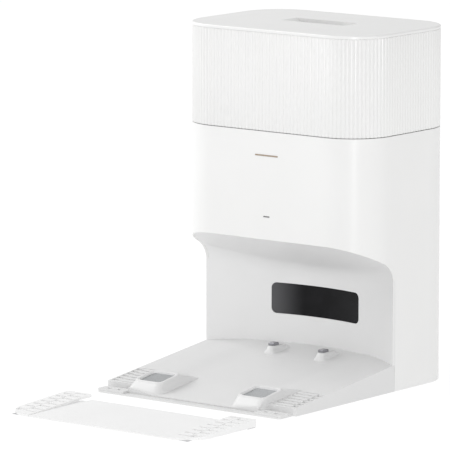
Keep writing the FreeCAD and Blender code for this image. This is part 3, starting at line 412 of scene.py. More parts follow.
@dataclass(frozen=True)
class MouldedPlastic:
    """Injection-moulded plastic, from polished to spark-eroded."""

    colour: Colour
    roughness: float
    grain: float = 0.45 * MM
    grain_depth: float = 0.003 * MM
    drift: float = 0.008
    coat: float = 0.0
    sink_depth: float = 0.012 * MM
    flow_size: float = 90 * MM
    sink_size: float = 35 * MM
    gloss_size: float = 14 * MM
    gloss_reach: float = 0.06
    flow_gloss: float = 0.04
    coat_roughness: float = 0.12

    def build(self, name: str) -> bpy.types.Material:
        """Makes the material.

        Args:
            name: its name.

        Returns:
            The finished material.
        """
        shader = Shader(name)
        flow = shader.noise(self.flow_size, 3.0)
        grains = shader.noise(self.grain, 2.0)
        sink = shader.noise(self.sink_size, 1.0)
        gloss = shader.noise(self.gloss_size, 4.0)
        normal = shader.relief(grains, self.grain_depth, shader.relief(sink, self.sink_depth))
        return shader.surface({
            "Base Color": shader.tinted(self.colour, flow, self.drift),
            "Roughness": self.roughness + (gloss - 0.5) * self.gloss_reach + (flow - 0.5) * self.flow_gloss,
            "Normal": normal, "IOR": PLASTIC_IOR, "Coat Weight": self.coat,
            "Coat Roughness": self.coat_roughness})


@dataclass(frozen=True)
class TrackPlastic:
    """Moulded plastic that wheels have run over: fine scuffs along the way in."""

    colour: Colour
    scuff: Colour
    roughness: float
    flow_size: float = 80 * MM
    patch_size: float = 30 * MM
    streak_density: Triple = (900.0, 45.0, 900.0)
    scuff_share: float = 0.14
    scuff_polish: float = 0.3
    flow_gloss: float = 0.08
    drift: float = 0.008
    grain: float = 0.5 * MM
    grain_depth: float = 0.004 * MM

    def build(self, name: str) -> bpy.types.Material:
        """Makes the material.

        Args:
            name: its name.

        Returns:
            The finished material.
        """
        shader = Shader(name)
        flow = shader.noise(self.flow_size, 3.0)
        streaks = shader.noise(1.0, 4.0, shader.stretched(*self.streak_density)).step(0.58, 0.80)
        patches = shader.noise(self.patch_size, 2.0).step(0.45, 0.75)
        scuffs = streaks * patches * self.scuff_share
        grains = shader.noise(self.grain, 2.0)
        colour = shader.blend(scuffs, shader.tinted(self.colour, flow, self.drift), self.scuff)
        return shader.surface({
            "Base Color": colour,
            "Roughness": self.roughness + (flow - 0.5) * self.flow_gloss - scuffs * self.scuff_polish,
            "Normal": shader.relief(grains, self.grain_depth), "IOR": PLASTIC_IOR})


@dataclass(frozen=True)
class SmokedAcrylic:
    """Polished near-black plastic that passes infrared, with a painted reflection: paler towards its left."""

    colour: Colour
    roughness: float
    pale: Colour = (0.10, 0.10, 0.105)
    painted_reflection_from: float = -20.0 * MM
    painted_reflection_to: float = -78.0 * MM
    wipe_density: Triple = (60.0, 60.0, 700.0)
    haze_size: float = 22 * MM
    haze_drift: float = 0.25
    wave_size: float = 18 * MM
    wave_depth: float = 0.004 * MM
    ior: float = 1.22

    def build(self, name: str) -> bpy.types.Material:
        """Makes the material.

        Args:
            name: its name.

        Returns:
            The finished material.
        """
        shader = Shader(name)
        wiped = shader.noise(1.0, 4.0, shader.stretched(*self.wipe_density)).step(0.55, 0.85)
        haze = shader.noise(self.haze_size, 3.0)
        x, _, _ = shader.split(shader.place)
        # Painted reflection: towards the left (-X) the base colour blends into the pale colour, standing in
        # for the room's reflection.
        bloom = (x * -1.0).step(-self.painted_reflection_from, -self.painted_reflection_to)
        return shader.surface({
            "Base Color": shader.blend(bloom, shader.tinted(self.colour, haze, self.haze_drift), self.pale),
            "Roughness": self.roughness + wiped * 0.05 + (haze - 0.5) * 0.03,
            "Normal": shader.relief(shader.noise(self.wave_size, 1.0), self.wave_depth),
            "IOR": self.ior})


@dataclass(frozen=True)
class SoftRubber:
    """Matt rubber with a fine tooth and a little bloom."""

    colour: Colour
    roughness: float = 0.78
    bloom_size: float = 9 * MM
    bloom_share: float = 0.6
    bloom_reach: float = 0.15
    tooth_size: float = 0.3 * MM
    tooth_depth: float = 0.02 * MM
    paler_gain: float = 1.18
    paler_lift: float = 0.02

    def build(self, name: str) -> bpy.types.Material:
        """Makes the material.

        Args:
            name: its name.

        Returns:
            The finished material.
        """
        shader = Shader(name)
        bloom = shader.noise(self.bloom_size, 4.0)
        tooth = shader.noise(self.tooth_size, 2.0)
        paler = tuple(min(1.0, channel * self.paler_gain + self.paler_lift) for channel in self.colour)
        return shader.surface({
            "Base Color": shader.blend(bloom.step(0.45, 0.75) * self.bloom_share, self.colour, paler),
            "Roughness": self.roughness + (bloom - 0.5) * self.bloom_reach,
            "Normal": shader.relief(tooth, self.tooth_depth), "IOR": PLASTIC_IOR})


class MetalSkin(Enum):
    """How a metal's surface was left."""

    PLATED = "plated"
    BRUSHED = "brushed"
    CAST = "cast"
    TURNED = "turned"


@dataclass(frozen=True)
class Metal:
    """Metal with the marks of how it was made."""

    colour: Colour
    roughness: float
    skin: MetalSkin
    cloud_size: float = 6 * MM
    cloud_drift: float = 0.08
    cloud_reach: float = 0.12
    mark_reach: float = 0.10

    def build(self, name: str) -> bpy.types.Material:
        """Makes the material.

        Args:
            name: its name.

        Returns:
            The finished material.
        """
        shader = Shader(name)
        cloud = shader.noise(self.cloud_size, 3.0)
        marks, depth = self._marks(shader)
        return shader.surface({
            "Base Color": shader.tinted(self.colour, cloud, self.cloud_drift),
            "Roughness": (self.roughness + (cloud - 0.5) * self.cloud_reach
                          + (marks - 0.5) * self.mark_reach),
            "Metallic": 1.0, "Normal": shader.relief(marks, depth)})

    def _marks(self, shader: Shader) -> tuple[Value, float]:
        """Chooses the marks of this skin.

        Args:
            shader: the material's tree.

        Returns:
            The relief and its depth.
        """
        if self.skin is MetalSkin.BRUSHED:
            return shader.noise(1.0, 3.0, shader.stretched(120.0, 3000.0, 5000.0)), 0.004 * MM
        if self.skin is MetalSkin.CAST:
            return shader.cells(0.9 * MM) + shader.noise(0.5 * MM, 3.0), 0.04 * MM
        if self.skin is MetalSkin.TURNED:
            return shader.noise(1.0, 2.0, shader.stretched(60.0, 60.0, 6000.0)), 0.005 * MM
        return shader.noise(1.6 * MM, 4.0), 0.003 * MM


@dataclass(frozen=True)
class OpenFoam:
    """Open-cell filter foam: rounded pores whose middles are darkened as painted shade."""

    colour: Colour
    pore: float = 1.6 * MM
    pore_depth: float = 0.5 * MM
    fine_share: float = 0.45
    fine_relief: float = 0.3
    pore_shade_share: float = 0.35
    roughness: float = 0.92
    fine_reach: float = 0.08

    def build(self, name: str) -> bpy.types.Material:
        """Makes the material.

        Args:
            name: its name.

        Returns:
            The finished material.
        """
        shader = Shader(name)
        walls = shader.cells(self.pore, feature="DISTANCE_TO_EDGE").step(0.02, 0.22)
        fine = shader.cells(self.pore * self.fine_share)
        # Painted shade: the middle of each pore is darkened, standing in for the shade inside it.
        pore_shade = tuple(channel * self.pore_shade_share for channel in self.colour)
        return shader.surface({
            "Base Color": shader.blend(walls, self.colour, pore_shade),
            "Roughness": self.roughness + (fine - 0.5) * self.fine_reach,
            "Normal": shader.relief(1.0 - walls + fine * self.fine_relief, self.pore_depth)})


@dataclass(frozen=True)
class Fleece:
    """Bonded non-woven fleece: laid fibres and a grid of pressed dots."""

    colour: Colour
    dot_pitch: float = 3.2 * MM
    dot_depth: float = 0.14 * MM
    dot_polish: float = 0.2
    fibre_depth: float = 0.10 * MM
    along_density: Triple = (500.0, 2600.0, 700.0)
    across_density: Triple = (2400.0, 600.0, 2400.0)
    cloud_size: float = 20 * MM
    cloud_share: float = 0.25
    warm_share: float = 0.90
    roughness: float = 0.95
    sheen: float = 0.25
    sheen_roughness: float = 0.5

    def build(self, name: str) -> bpy.types.Material:
        """Makes the material.

        Args:
            name: its name.

        Returns:
            The finished material.
        """
        shader = Shader(name)
        along = shader.noise(1.0, 4.0, shader.stretched(*self.along_density))
        across = shader.noise(1.0, 4.0, shader.stretched(*self.across_density))
        fibres = along * 0.5 + across * 0.5
        x, y, z = shader.split(shader.place)
        turn = math.pi / self.dot_pitch
        dots = ((x + z) * turn).sine() * ((y + z - x) * turn).sine()
        pressed = abs(dots).step(0.55, 0.95)
        cloudy = shader.noise(self.cloud_size, 3.0)
        warm = tuple(channel * self.warm_share for channel in self.colour)
        colour = shader.blend(fibres.step(0.35, 0.65), warm, self.colour)
        return shader.surface({
            "Base Color": shader.blend(cloudy.step(0.4, 0.7) * self.cloud_share, colour, warm),
            "Roughness": self.roughness - pressed * self.dot_polish,
            "Normal": shader.relief(fibres, self.fibre_depth,
                                    shader.relief(1.0 - pressed, self.dot_depth)),
            "Sheen Weight": self.sheen, "Sheen Roughness": self.sheen_roughness})


@dataclass(frozen=True)
class PressedCard:
    """Grey-buff card with flecks and a rolled surface."""

    colour: Colour
    fleck_size: float = 0.8 * MM
    fleck_share: float = 0.6
    dark_share: float = 0.72
    rolled_density: Triple = (300.0, 1800.0, 300.0)
    rolled_depth: float = 0.03 * MM
    rolled_drift: float = 0.05
    roughness: float = 0.88
    rolled_polish: float = 0.08

    def build(self, name: str) -> bpy.types.Material:
        """Makes the material.

        Args:
            name: its name.

        Returns:
            The finished material.
        """
        shader = Shader(name)
        flecks = shader.noise(self.fleck_size, 4.0).step(0.62, 0.72)
        rolled = shader.noise(1.0, 3.0, shader.stretched(*self.rolled_density))
        dark = tuple(channel * self.dark_share for channel in self.colour)
        return shader.surface({
            "Base Color": shader.blend(flecks * self.fleck_share,
                                       shader.tinted(self.colour, rolled, self.rolled_drift), dark),
            "Roughness": self.roughness - rolled * self.rolled_polish,
            "Normal": shader.relief(rolled, self.rolled_depth)})


@dataclass(frozen=True)
class CircuitBoard:
    """Solder mask over tracks, with tinned pads."""

    mask: Colour
    track: Colour
    pad: Colour
    lane_pitch: float = 2.5 * MM
    pad_pitch: float = 5 * MM
    break_density: Triple = (70.0, 70.0, 400.0)
    roughness: float = 0.42
    pad_polish: float = 0.15
    track_depth: float = 0.05 * MM

    def build(self, name: str) -> bpy.types.Material:
        """Makes the material.

        Args:
            name: its name.

        Returns:
            The finished material.
        """
        shader = Shader(name)
        _, _, z = shader.split(shader.place)
        lanes = (z / self.lane_pitch).fraction()
        broken = shader.noise(1.0, 0.0, shader.stretched(*self.break_density)).step(0.49, 0.51)
        tracks = (abs(lanes - 0.5) * -1.0).step(-0.22, -0.16) * broken
        pads = (shader.cells(self.pad_pitch) * -1.0).step(-0.20, -0.17)
        colour = shader.blend(tracks, self.mask, self.track)
        return shader.surface({
            "Base Color": shader.blend(pads, colour, self.pad),
            "Roughness": self.roughness - pads * self.pad_polish,
            "Metallic": pads, "Normal": shader.relief(tracks + pads, self.track_depth), "IOR": PLASTIC_IOR})


class Slot(Enum):
    """The record's material slots."""

    SHELL = "shell_white"
    RIBBED = "ribbed_white"
    LINER = "liner_white"
    BASE = "base_white"
    RAMP = "ramp_white"
    WINDOW = "window_black"
    INNER = "inner_grey"
    IMPELLER = "impeller_grey"
    GRILLE = "grille_grey"
    SEAL = "seal_grey"
    VENT_SEAL = "seal_white"
    CONTACT = "contact_chrome"
    STEEL = "steel"
    MOTOR = "motor_metal"
    BRASS = "brass"
    LENS = "light_lens"
    BADGE = "badge_bronze"
    BOARD = "board_green"
    FOAM = "filter_foam"
    BAG = "bag_fleece"
    COLLAR = "collar_card"
    LEAD = "lead_black"


FINISHES = {
    Slot.SHELL: MouldedPlastic((0.775, 0.775, 0.77), 0.30, 0.8 * MM, 0.0012 * MM, coat=0.15),
    Slot.RIBBED: MouldedPlastic((0.775, 0.775, 0.77), 0.32, 0.8 * MM, 0.0012 * MM, coat=0.10),
    Slot.LINER: MouldedPlastic((0.76, 0.76, 0.76), 0.46),
    # The base's white is darker than the shell's: painted shade for the parking bay's floor.
    Slot.BASE: TrackPlastic((0.68, 0.68, 0.68), (0.60, 0.60, 0.60), 0.48),
    Slot.RAMP: TrackPlastic((0.82, 0.82, 0.82), (0.66, 0.66, 0.66), 0.45),
    Slot.WINDOW: SmokedAcrylic((0.006, 0.006, 0.007), 0.09),
    Slot.INNER: MouldedPlastic((0.36, 0.37, 0.38), 0.52, 0.6 * MM, 0.010 * MM, 0.03),
    Slot.IMPELLER: MouldedPlastic((0.08, 0.085, 0.09), 0.44, 0.5 * MM, 0.012 * MM, 0.05),
    Slot.GRILLE: MouldedPlastic((0.50, 0.51, 0.52), 0.60, 0.4 * MM, 0.008 * MM, 0.04),
    Slot.SEAL: SoftRubber((0.42, 0.42, 0.43)),
    Slot.VENT_SEAL: SoftRubber((0.78, 0.78, 0.78), 0.6),
    Slot.CONTACT: Metal((0.34, 0.34, 0.36), 0.24, MetalSkin.PLATED),
    Slot.STEEL: Metal((0.55, 0.55, 0.57), 0.34, MetalSkin.TURNED),
    Slot.MOTOR: Metal((0.50, 0.51, 0.52), 0.48, MetalSkin.CAST),
    Slot.BRASS: Metal((0.70, 0.52, 0.22), 0.24, MetalSkin.PLATED),
    Slot.LENS: SmokedAcrylic((0.20, 0.20, 0.20), 0.22, (0.20, 0.20, 0.20)),
    Slot.BADGE: Metal((0.40, 0.33, 0.26), 0.36, MetalSkin.BRUSHED),
    Slot.BOARD: CircuitBoard((0.02, 0.10, 0.05), (0.05, 0.20, 0.10), (0.72, 0.70, 0.66)),
    Slot.FOAM: OpenFoam((0.12, 0.125, 0.135)),
    Slot.BAG: Fleece((0.78, 0.77, 0.73)),
    Slot.COLLAR: PressedCard((0.62, 0.58, 0.48)),
    Slot.LEAD: SoftRubber((0.02, 0.02, 0.02), 0.5),
}


class Palette:
    """Makes each finish once and puts it on pieces."""

    def __init__(self) -> None:
        """Builds every finish."""
        self.materials = {slot: finish.build(slot.value) for slot, finish in FINISHES.items()}

    def dress(self, slot: Slot, *nodes: str) -> None:
        """Gives CAD nodes their finish.

        Args:
            slot: the finish.
            nodes: the nodes' names.
        """
        for name in nodes:
            materials = frame["nodes"][name].data.materials
            materials.clear()
            materials.append(self.materials[slot])
            log.info("dressed %s in %s", name, slot.value)


# ---------------------------------------------------------------- meshes
class Maker(Tree):
    """A Geometry Nodes tree with named sizes, run once and turned into a plain mesh."""

    def __init__(self, name: str) -> None:
        """Starts a tree of that name."""
        tree = bpy.data.node_groups.new(name, "GeometryNodeTree")
        super().__init__(tree)
        tree.interface.new_socket("Geometry", in_out="OUTPUT", socket_type="NodeSocketGeometry")
        self.entry = tree.nodes.new("NodeGroupInput")
        self.identifiers: dict[str, str] = {}

    def size(self, name: str, whole: bool = False) -> Value:
        """A named input.

        Args:
            name: the input's name.
            whole: True for a whole number.

        Returns:
            Its value in the tree.
        """
        kind = "NodeSocketInt" if whole else "NodeSocketFloat"
        item = self.tree.interface.new_socket(name, in_out="INPUT", socket_type=kind)
        self.identifiers[name] = item.identifier
        return Value(self.tree, next(s for s in self.entry.outputs if s.identifier == item.identifier))

    def box(self, size: "Value | Sequence[float]") -> Value:
        """A box of that size about the origin."""
        return self.add("GeometryNodeMeshCube", None, {"Size": size}).out("Mesh")

    def moved(self, geometry: Value, place: "Value | Sequence[float]",
              turn: "Value | Sequence[float]" = (0.0, 0.0, 0.0)) -> Value:
        """Geometry turned about the origin, then moved."""
        return self.add("GeometryNodeTransform", None,
                        {"Geometry": geometry, "Translation": place, "Rotation": turn}).out("Geometry")

    def drum(self, radius: "Value | float", height: "Value | float", sides: int) -> Value:
        """A cylinder about the origin, upright."""
        return self.add("GeometryNodeMeshCylinder", None,
                        {"Vertices": sides, "Radius": radius, "Depth": height}).out("Mesh")

    def on_points(self, points: Value, geometry: Value,
                  turn: "Value | Sequence[float]" = (0.0, 0.0, 0.0)) -> Value:
        """A copy of the geometry at every point."""
        return self.add("GeometryNodeInstanceOnPoints", None,
                        {"Points": points, "Instance": geometry, "Rotation": turn}).out("Instances")

    def row(self, count: Value, start: Value, step: Value) -> Value:
        """Points from a start, each a step on."""
        return self.add("GeometryNodeMeshLine", {"mode": "OFFSET"},
                        {"Count": count, "Start Location": start, "Offset": step}).out("Mesh")

    def grid(self, width: "Value | float", length: "Value | float", across: int, along: int) -> Value:
        """A flat grid of points about the origin."""
        return self.add("GeometryNodeMeshGrid", None, {
            "Size X": width, "Size Y": length, "Vertices X": across, "Vertices Y": along}).out("Mesh")

    def joined(self, *parts: Value) -> Value:
        """Several geometries as one."""
        return self.add("GeometryNodeJoinGeometry", None, {"Geometry": list(reversed(parts))}).out("Geometry")

    def make(self, name: str, geometry: Value, material: bpy.types.Material,
             sizes: dict[str, float]) -> bpy.types.Mesh:
        """Ends the tree, runs it and keeps its result.

        Args:
            name: the mesh's name.
            geometry: what the tree has made.
            material: its finish.
            sizes: the value of each named input.

        Returns:
            A plain mesh.
        """
        solid = self.add("GeometryNodeRealizeInstances", None, {"Geometry": geometry}).out("Geometry")
        dressed = self.add("GeometryNodeSetMaterial", None, {"Geometry": solid, "Material": material})
        self.add("NodeGroupOutput", None, {"Geometry": dressed.out("Geometry")})
        holder = bpy.data.objects.new(name + "_holder", bpy.data.meshes.new(name + "_seed"))
        bpy.context.scene.collection.objects.link(holder)
        modifier = holder.modifiers.new("maker", "NODES")
        modifier.node_group = self.tree
        for key, value in sizes.items():
            modifier[self.identifiers[key]] = value
        graph = bpy.context.evaluated_depsgraph_get()
        mesh = bpy.data.meshes.new_from_object(holder.evaluated_get(graph))
        mesh.name = name
        bpy.data.objects.remove(holder)
        return mesh


def tidy_mesh(mesh: bpy.types.Mesh, sharp_deg: float, outward: bool = True) -> None:
    """Merges doubles, turns faces outwards and shades smooth up to an angle.

    Args:
        mesh: the mesh to finish.
        sharp_deg: edges that turn more than this stay sharp.
        outward: True to recalculate the faces' direction.
    """
    work = bmesh.new()
    work.from_mesh(mesh)
    bmesh.ops.remove_doubles(work, verts=work.verts, dist=1e-6)
    if outward:
        bmesh.ops.recalc_face_normals(work, faces=work.faces)
    work.to_mesh(mesh)
    work.free()
    mesh.polygons.foreach_set("use_smooth", [True] * len(mesh.polygons))
    mesh.set_sharp_from_angle(angle=math.radians(sharp_deg))


def add_piece(mesh: bpy.types.Mesh, body: str, slot: Slot, *replaced: str) -> bpy.types.Object:
    """Puts a finished mesh in the scene as a piece of the object.

    Args:
        mesh: the mesh, in the row frame, with its finish.
        body: the CAD body it rides on.
        slot: the record's slot of its finish; not used.
        replaced: the CAD nodes it stands for.

    Returns:
        The piece.
    """
    piece = bpy.data.objects.new(mesh.name, mesh)
    bpy.context.scene.collection.objects.link(piece)
    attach(piece, body)
    if replaced:
        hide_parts(*replaced)
    log.info("made %s: %d faces, on %s", piece.name, len(mesh.polygons), body)
    return piece


def skin_rings(name: str, rings: Sequence[Sequence[Vector]], closed: bool,
               material: bpy.types.Material) -> bpy.types.Mesh:
    """Joins closed rings of points, each to the next, with quads.

    Args:
        name: the mesh's name.
        rings: the rings, all with the same number of points.
        closed: True to join the last ring to the first.
        material: the mesh's finish.

    Returns:
        The mesh.
    """
    count = len(rings[0])
    points = [point for ring in rings for point in ring]
    faces = []
    for row in range(len(rings) if closed else len(rings) - 1):
        here, there = row * count, (row + 1) % len(rings) * count
        for index in range(count):
            after = (index + 1) % count
            faces.append((here + index, here + after, there + after, there + index))
    mesh = bpy.data.meshes.new(name)
    mesh.from_pydata([tuple(point) for point in points], [], faces)
    mesh.materials.append(material)
    return mesh


@dataclass(frozen=True)
class Plan:
    """A rounded rectangle seen from above."""

    x_low: float
    x_high: float
    y_low: float
    y_high: float
    radius: float
    rear_radius: float

    def grown(self, by: float) -> "Plan":
        """The same outline set out by a distance."""
        return Plan(self.x_low - by, self.x_high + by, self.y_low - by, self.y_high + by,
                    self.radius + by, self.rear_radius + by)

    def towards(self, other: "Plan", side: float, front: float, rear: float) -> "Plan":
        """An outline between this and another.

        Args:
            other: the outline at 1.
            side: the share for the two sides.
            front: the share for the front.
            rear: the share for the rear.

        Returns:
            The outline between them.
        """
        def mix(a: float, b: float, share: float) -> float:
            """A number between two numbers."""
            return a + (b - a) * share
        return Plan(mix(self.x_low, other.x_low, side), mix(self.x_high, other.x_high, side),
                    mix(self.y_low, other.y_low, front), mix(self.y_high, other.y_high, rear),
                    mix(self.radius, other.radius, side), mix(self.rear_radius, other.rear_radius, rear))

    def ring(self, height: Height, steps: int = 8) -> list[Vector]:
        """The outline's points, lifted to a height.

        Args:
            height: the height at a place in plan.
            steps: the number of stretches in each corner.

        Returns:
            The points, anticlockwise from above.
        """
        corners = ((self.x_high, self.y_low, -1, 1, self.radius),
                   (self.x_high, self.y_high, -1, -1, self.rear_radius),
                   (self.x_low, self.y_high, 1, -1, self.rear_radius),
                   (self.x_low, self.y_low, 1, 1, self.radius))
        points = []
        for quarter, (x, y, inward_x, inward_y, radius) in enumerate(corners):
            for step in range(steps + 1):
                angle = math.radians(-90.0 + 90.0 * quarter + 90.0 * step / steps)
                place_x = x + inward_x * radius + radius * math.cos(angle)
                place_y = y + inward_y * radius + radius * math.sin(angle)
                points.append(Vector((place_x, place_y, height(place_x, place_y))))
        return points


# ---------------------------------------------------------------- shared places
@dataclass(frozen=True)
class BaseSurface:
    """The base's upper surface: a dished floor that rises to two wheel tracks."""

    track_width: ClassVar[float] = 46 * MM
    track_setback: ClassVar[float] = 16 * MM
    blend_width: ClassVar[float] = 44 * MM

    front_y: float
    track_front_y: float
    track_inner_x: float
    floor_half: float
    bottom_z: float
    floor_front_height: float = 4.0 * MM
    floor_slope: float = 0.1275
    track_front_height: float = 10.9 * MM
    track_slope: float = 0.1164

    @classmethod
    def read(cls) -> "BaseSurface":
        """Takes the surface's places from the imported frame.

        Returns:
            The surface.
        """
        low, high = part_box("base_ramp")
        inner = high.x - cls.track_width
        return cls(low.y, low.y + cls.track_setback, inner, inner - cls.blend_width, low.z)

    def height(self, x: float, y: float) -> float:
        """The surface's height.

        Args:
            x: the place across the base.
            y: the place along it.

        Returns:
            The height at that place.
        """
        floor = self.floor_front_height + self.floor_slope * (y - self.front_y)
        track = self.track_front_height + self.track_slope * (y - self.track_front_y)
        share = (abs(x) - self.floor_half) / (self.track_inner_x - self.floor_half)
        share = min(1.0, max(0.0, share))
        soft = 2 * share * share if share < 0.5 else 1 - 2 * (1 - share) * (1 - share)
        return floor + (track - floor) * soft


# ---------------------------------------------------------------- cover
@dataclass
class Cover:
    """The lift-up cover: fluted wall, top plate and what is fixed to them."""

    palette: Palette
    corner_radius: float = 58 * MM
    wall: float = 2.6 * MM
    edge: float = 0.5 * MM
    flutes: int = 166
    stations: int = 12
    flute_depth: float = 1.2 * MM
    crest_power: float = 5.0
    corner_steps: int = 48
    edge_steps: int = 2

    def build(self) -> None:
        """Makes the fluted wall and dresses the rest."""
        mesh = self.fluted_wall()
        tidy_mesh(mesh, 50.0)
        add_piece(mesh, "cover", Slot.RIBBED, "cover_wall")
        self.palette.dress(Slot.SHELL, "top_plate", "cover_hinges")
        self.palette.dress(Slot.INNER, "cover_flange")
        self.palette.dress(Slot.SEAL, "cover_gasket")
        self.palette.dress(Slot.STEEL, "cover_magnets")

    def fluted_wall(self) -> bpy.types.Mesh:
        """Sweeps the wall's section round the plan outline and presses flutes into its outside.

        Returns:
            The wall's mesh.
        """
        low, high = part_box("cover_wall")
        maker = Maker("fluted wall")
        width, depth = maker.size("Width"), maker.size("Depth")
        radius, wall, edge = maker.size("Corner Radius"), maker.size("Wall"), maker.size("Edge")
        count, stations = maker.size("Flutes", whole=True), maker.size("Stations", whole=True)
        groove, base, top = maker.size("Groove"), maker.size("Low"), maker.size("High")
        centre_y, power = maker.size("Centre Y"), maker.size("Crest Power")
        outline = maker.add("GeometryNodeCurvePrimitiveQuadrilateral", None,
                            {"Width": width, "Height": depth})
        outline = maker.add("GeometryNodeFilletCurve", {"mode": "POLY"},
                            {"Curve": outline.out("Curve"), "Radius": radius, "Count": self.corner_steps})
        outline = maker.add("GeometryNodeResampleCurve", {"mode": "COUNT"},
                            {"Curve": outline.out("Curve"), "Count": count * stations})
        tangent = maker.add("GeometryNodeInputTangent").out()
        place = maker.add("GeometryNodeInputPosition").out()
        outward = maker.vector("CROSS_PRODUCT", tangent, (0.0, 0.0, 1.0))
        along = maker.add("GeometryNodeSplineParameter").out("Factor")
        captured = {"place": "VECTOR", "outward": "VECTOR", "along": "FLOAT"}
        track = maker.add("GeometryNodeCaptureAttribute", {"captured": captured}, {
            "Geometry": outline.out("Curve"), "place": place, "outward": outward, "along": along})
        section = maker.add("GeometryNodeCurvePrimitiveQuadrilateral", None,
                            {"Width": wall, "Height": top - base})
        section = maker.add("GeometryNodeFilletCurve", {"mode": "POLY"},
                            {"Curve": section.out("Curve"), "Radius": edge, "Count": self.edge_steps})
        profile = maker.add("GeometryNodeCaptureAttribute", {"captured": {"station": "VECTOR"}},
                            {"Geometry": section.out("Curve"), "station": place})
        swept = maker.add("GeometryNodeCurveToMesh", None, {
            "Curve": track.out("Geometry"), "Profile Curve": profile.out("Geometry")}).out("Mesh")
        across, lift, _ = maker.split(profile.out("station"))
        inset = across + wall * 0.5
        outer_share = 1.0 - inset / wall
        phase = (track.out("along") * count).fraction()
        valley = abs((phase * math.pi).cosine()) ** power
        reach = (inset + valley * groove * outer_share) * -1.0
        side = maker.scaled(track.out("outward"), reach)
        standing = maker.combine(0.0, centre_y, lift + (top + base) * 0.5)
        target = maker.vector("ADD", maker.vector("ADD", track.out("place"), side), standing)
        placed = maker.add("GeometryNodeSetPosition", None, {"Geometry": swept, "Position": target})
        return maker.make("fluted_wall", placed.out("Geometry"), self.palette.materials[Slot.RIBBED], {
            "Width": high.x - low.x, "Depth": high.y - low.y, "Corner Radius": self.corner_radius,
            "Wall": self.wall, "Edge": self.edge, "Flutes": self.flutes, "Stations": self.stations,
            "Groove": self.flute_depth, "Low": low.z, "High": high.z,
            "Centre Y": (low.y + high.y) / 2, "Crest Power": self.crest_power})


# ---------------------------------------------------------------- tower and bay
@dataclass
class Tower:
    """The casing, the parking bay's lining and what shows at the back."""

    palette: Palette
    head_radius: float = 3.0 * MM
    head_height: float = 1.2 * MM
    shank_radius: float = 1.5 * MM
    shank_length: float = 5.0 * MM
    recess_width: float = 0.8 * MM
    recess_reach: float = 3.4 * MM
    rear_inset: float = 3.0 * MM
    base_row_y: float = 105.0 * MM
    head_sides: int = 32
    shank_sides: int = 20

    def build(self) -> None:
        """Dresses the casings and makes the screws."""
        self.palette.dress(Slot.SHELL, "outer_shell", "rear_cover", "hinge_brackets")
        self.palette.dress(Slot.LINER, "recess_liner")
        self.palette.dress(Slot.WINDOW, "infrared_window")
        self.palette.dress(Slot.LENS, "status_light")
        self.palette.dress(Slot.BADGE, "badge_bar")
        self.palette.dress(Slot.STEEL, "hinge_pins", "deck_magnets")
        self.palette.dress(Slot.SEAL, "dock_feet")
        self.screws()

    def screws(self) -> None:
        """Makes the cross-recessed screws of the rear cover and of the base."""
        low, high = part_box("case_screws")
        cover_low, cover_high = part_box("rear_cover")
        maker = Maker("case screws")
        radius, height = maker.size("Head Radius"), maker.size("Head Height")
        shank, length = maker.size("Shank Radius"), maker.size("Shank Length")
        width, reach = maker.size("Recess Width"), maker.size("Recess Reach")
        head = maker.moved(maker.drum(radius, height, self.head_sides),
                           maker.combine(0.0, 0.0, height * -0.5))
        cross = maker.joined(maker.box(maker.combine(width, reach, height)),
                             maker.box(maker.combine(reach, width, height)))
        head = maker.add("GeometryNodeMeshBoolean", {"operation": "DIFFERENCE"},
                         {"Mesh 1": head, "Mesh 2": cross}).out("Mesh")
        stem = maker.moved(maker.drum(shank, length, self.shank_sides),
                           maker.combine(0.0, 0.0, (height + length * 0.5) * -1.0))
        screw = maker.joined(head, stem)
        inset = self.rear_inset
        rear = maker.on_points(maker.grid(cover_high.x - cover_low.x - 2 * inset,
                                          cover_high.z - cover_low.z - 2 * inset, 2, 3), screw)
        rear = maker.moved(rear, (0.0, high.y, (cover_low.z + cover_high.z) / 2),
                           (-math.pi / 2, 0.0, 0.0))
        front_row = low.y + self.head_radius
        base = maker.on_points(maker.grid(high.x - low.x - 2 * self.head_radius,
                                          self.base_row_y - front_row, 2, 2), screw)
        base = maker.moved(base, (0.0, (front_row + self.base_row_y) / 2, low.z), (math.pi, 0.0, 0.0))
        steel = self.palette.materials[Slot.STEEL]
        mesh = maker.make("cross_head_screws", maker.joined(rear, base), steel, {
            "Head Radius": self.head_radius, "Head Height": self.head_height,
            "Shank Radius": self.shank_radius, "Shank Length": self.shank_length,
            "Recess Width": self.recess_width, "Recess Reach": self.recess_reach})
        tidy_mesh(mesh, 40.0, outward=False)
        add_piece(mesh, "dock", Slot.STEEL, "case_screws")


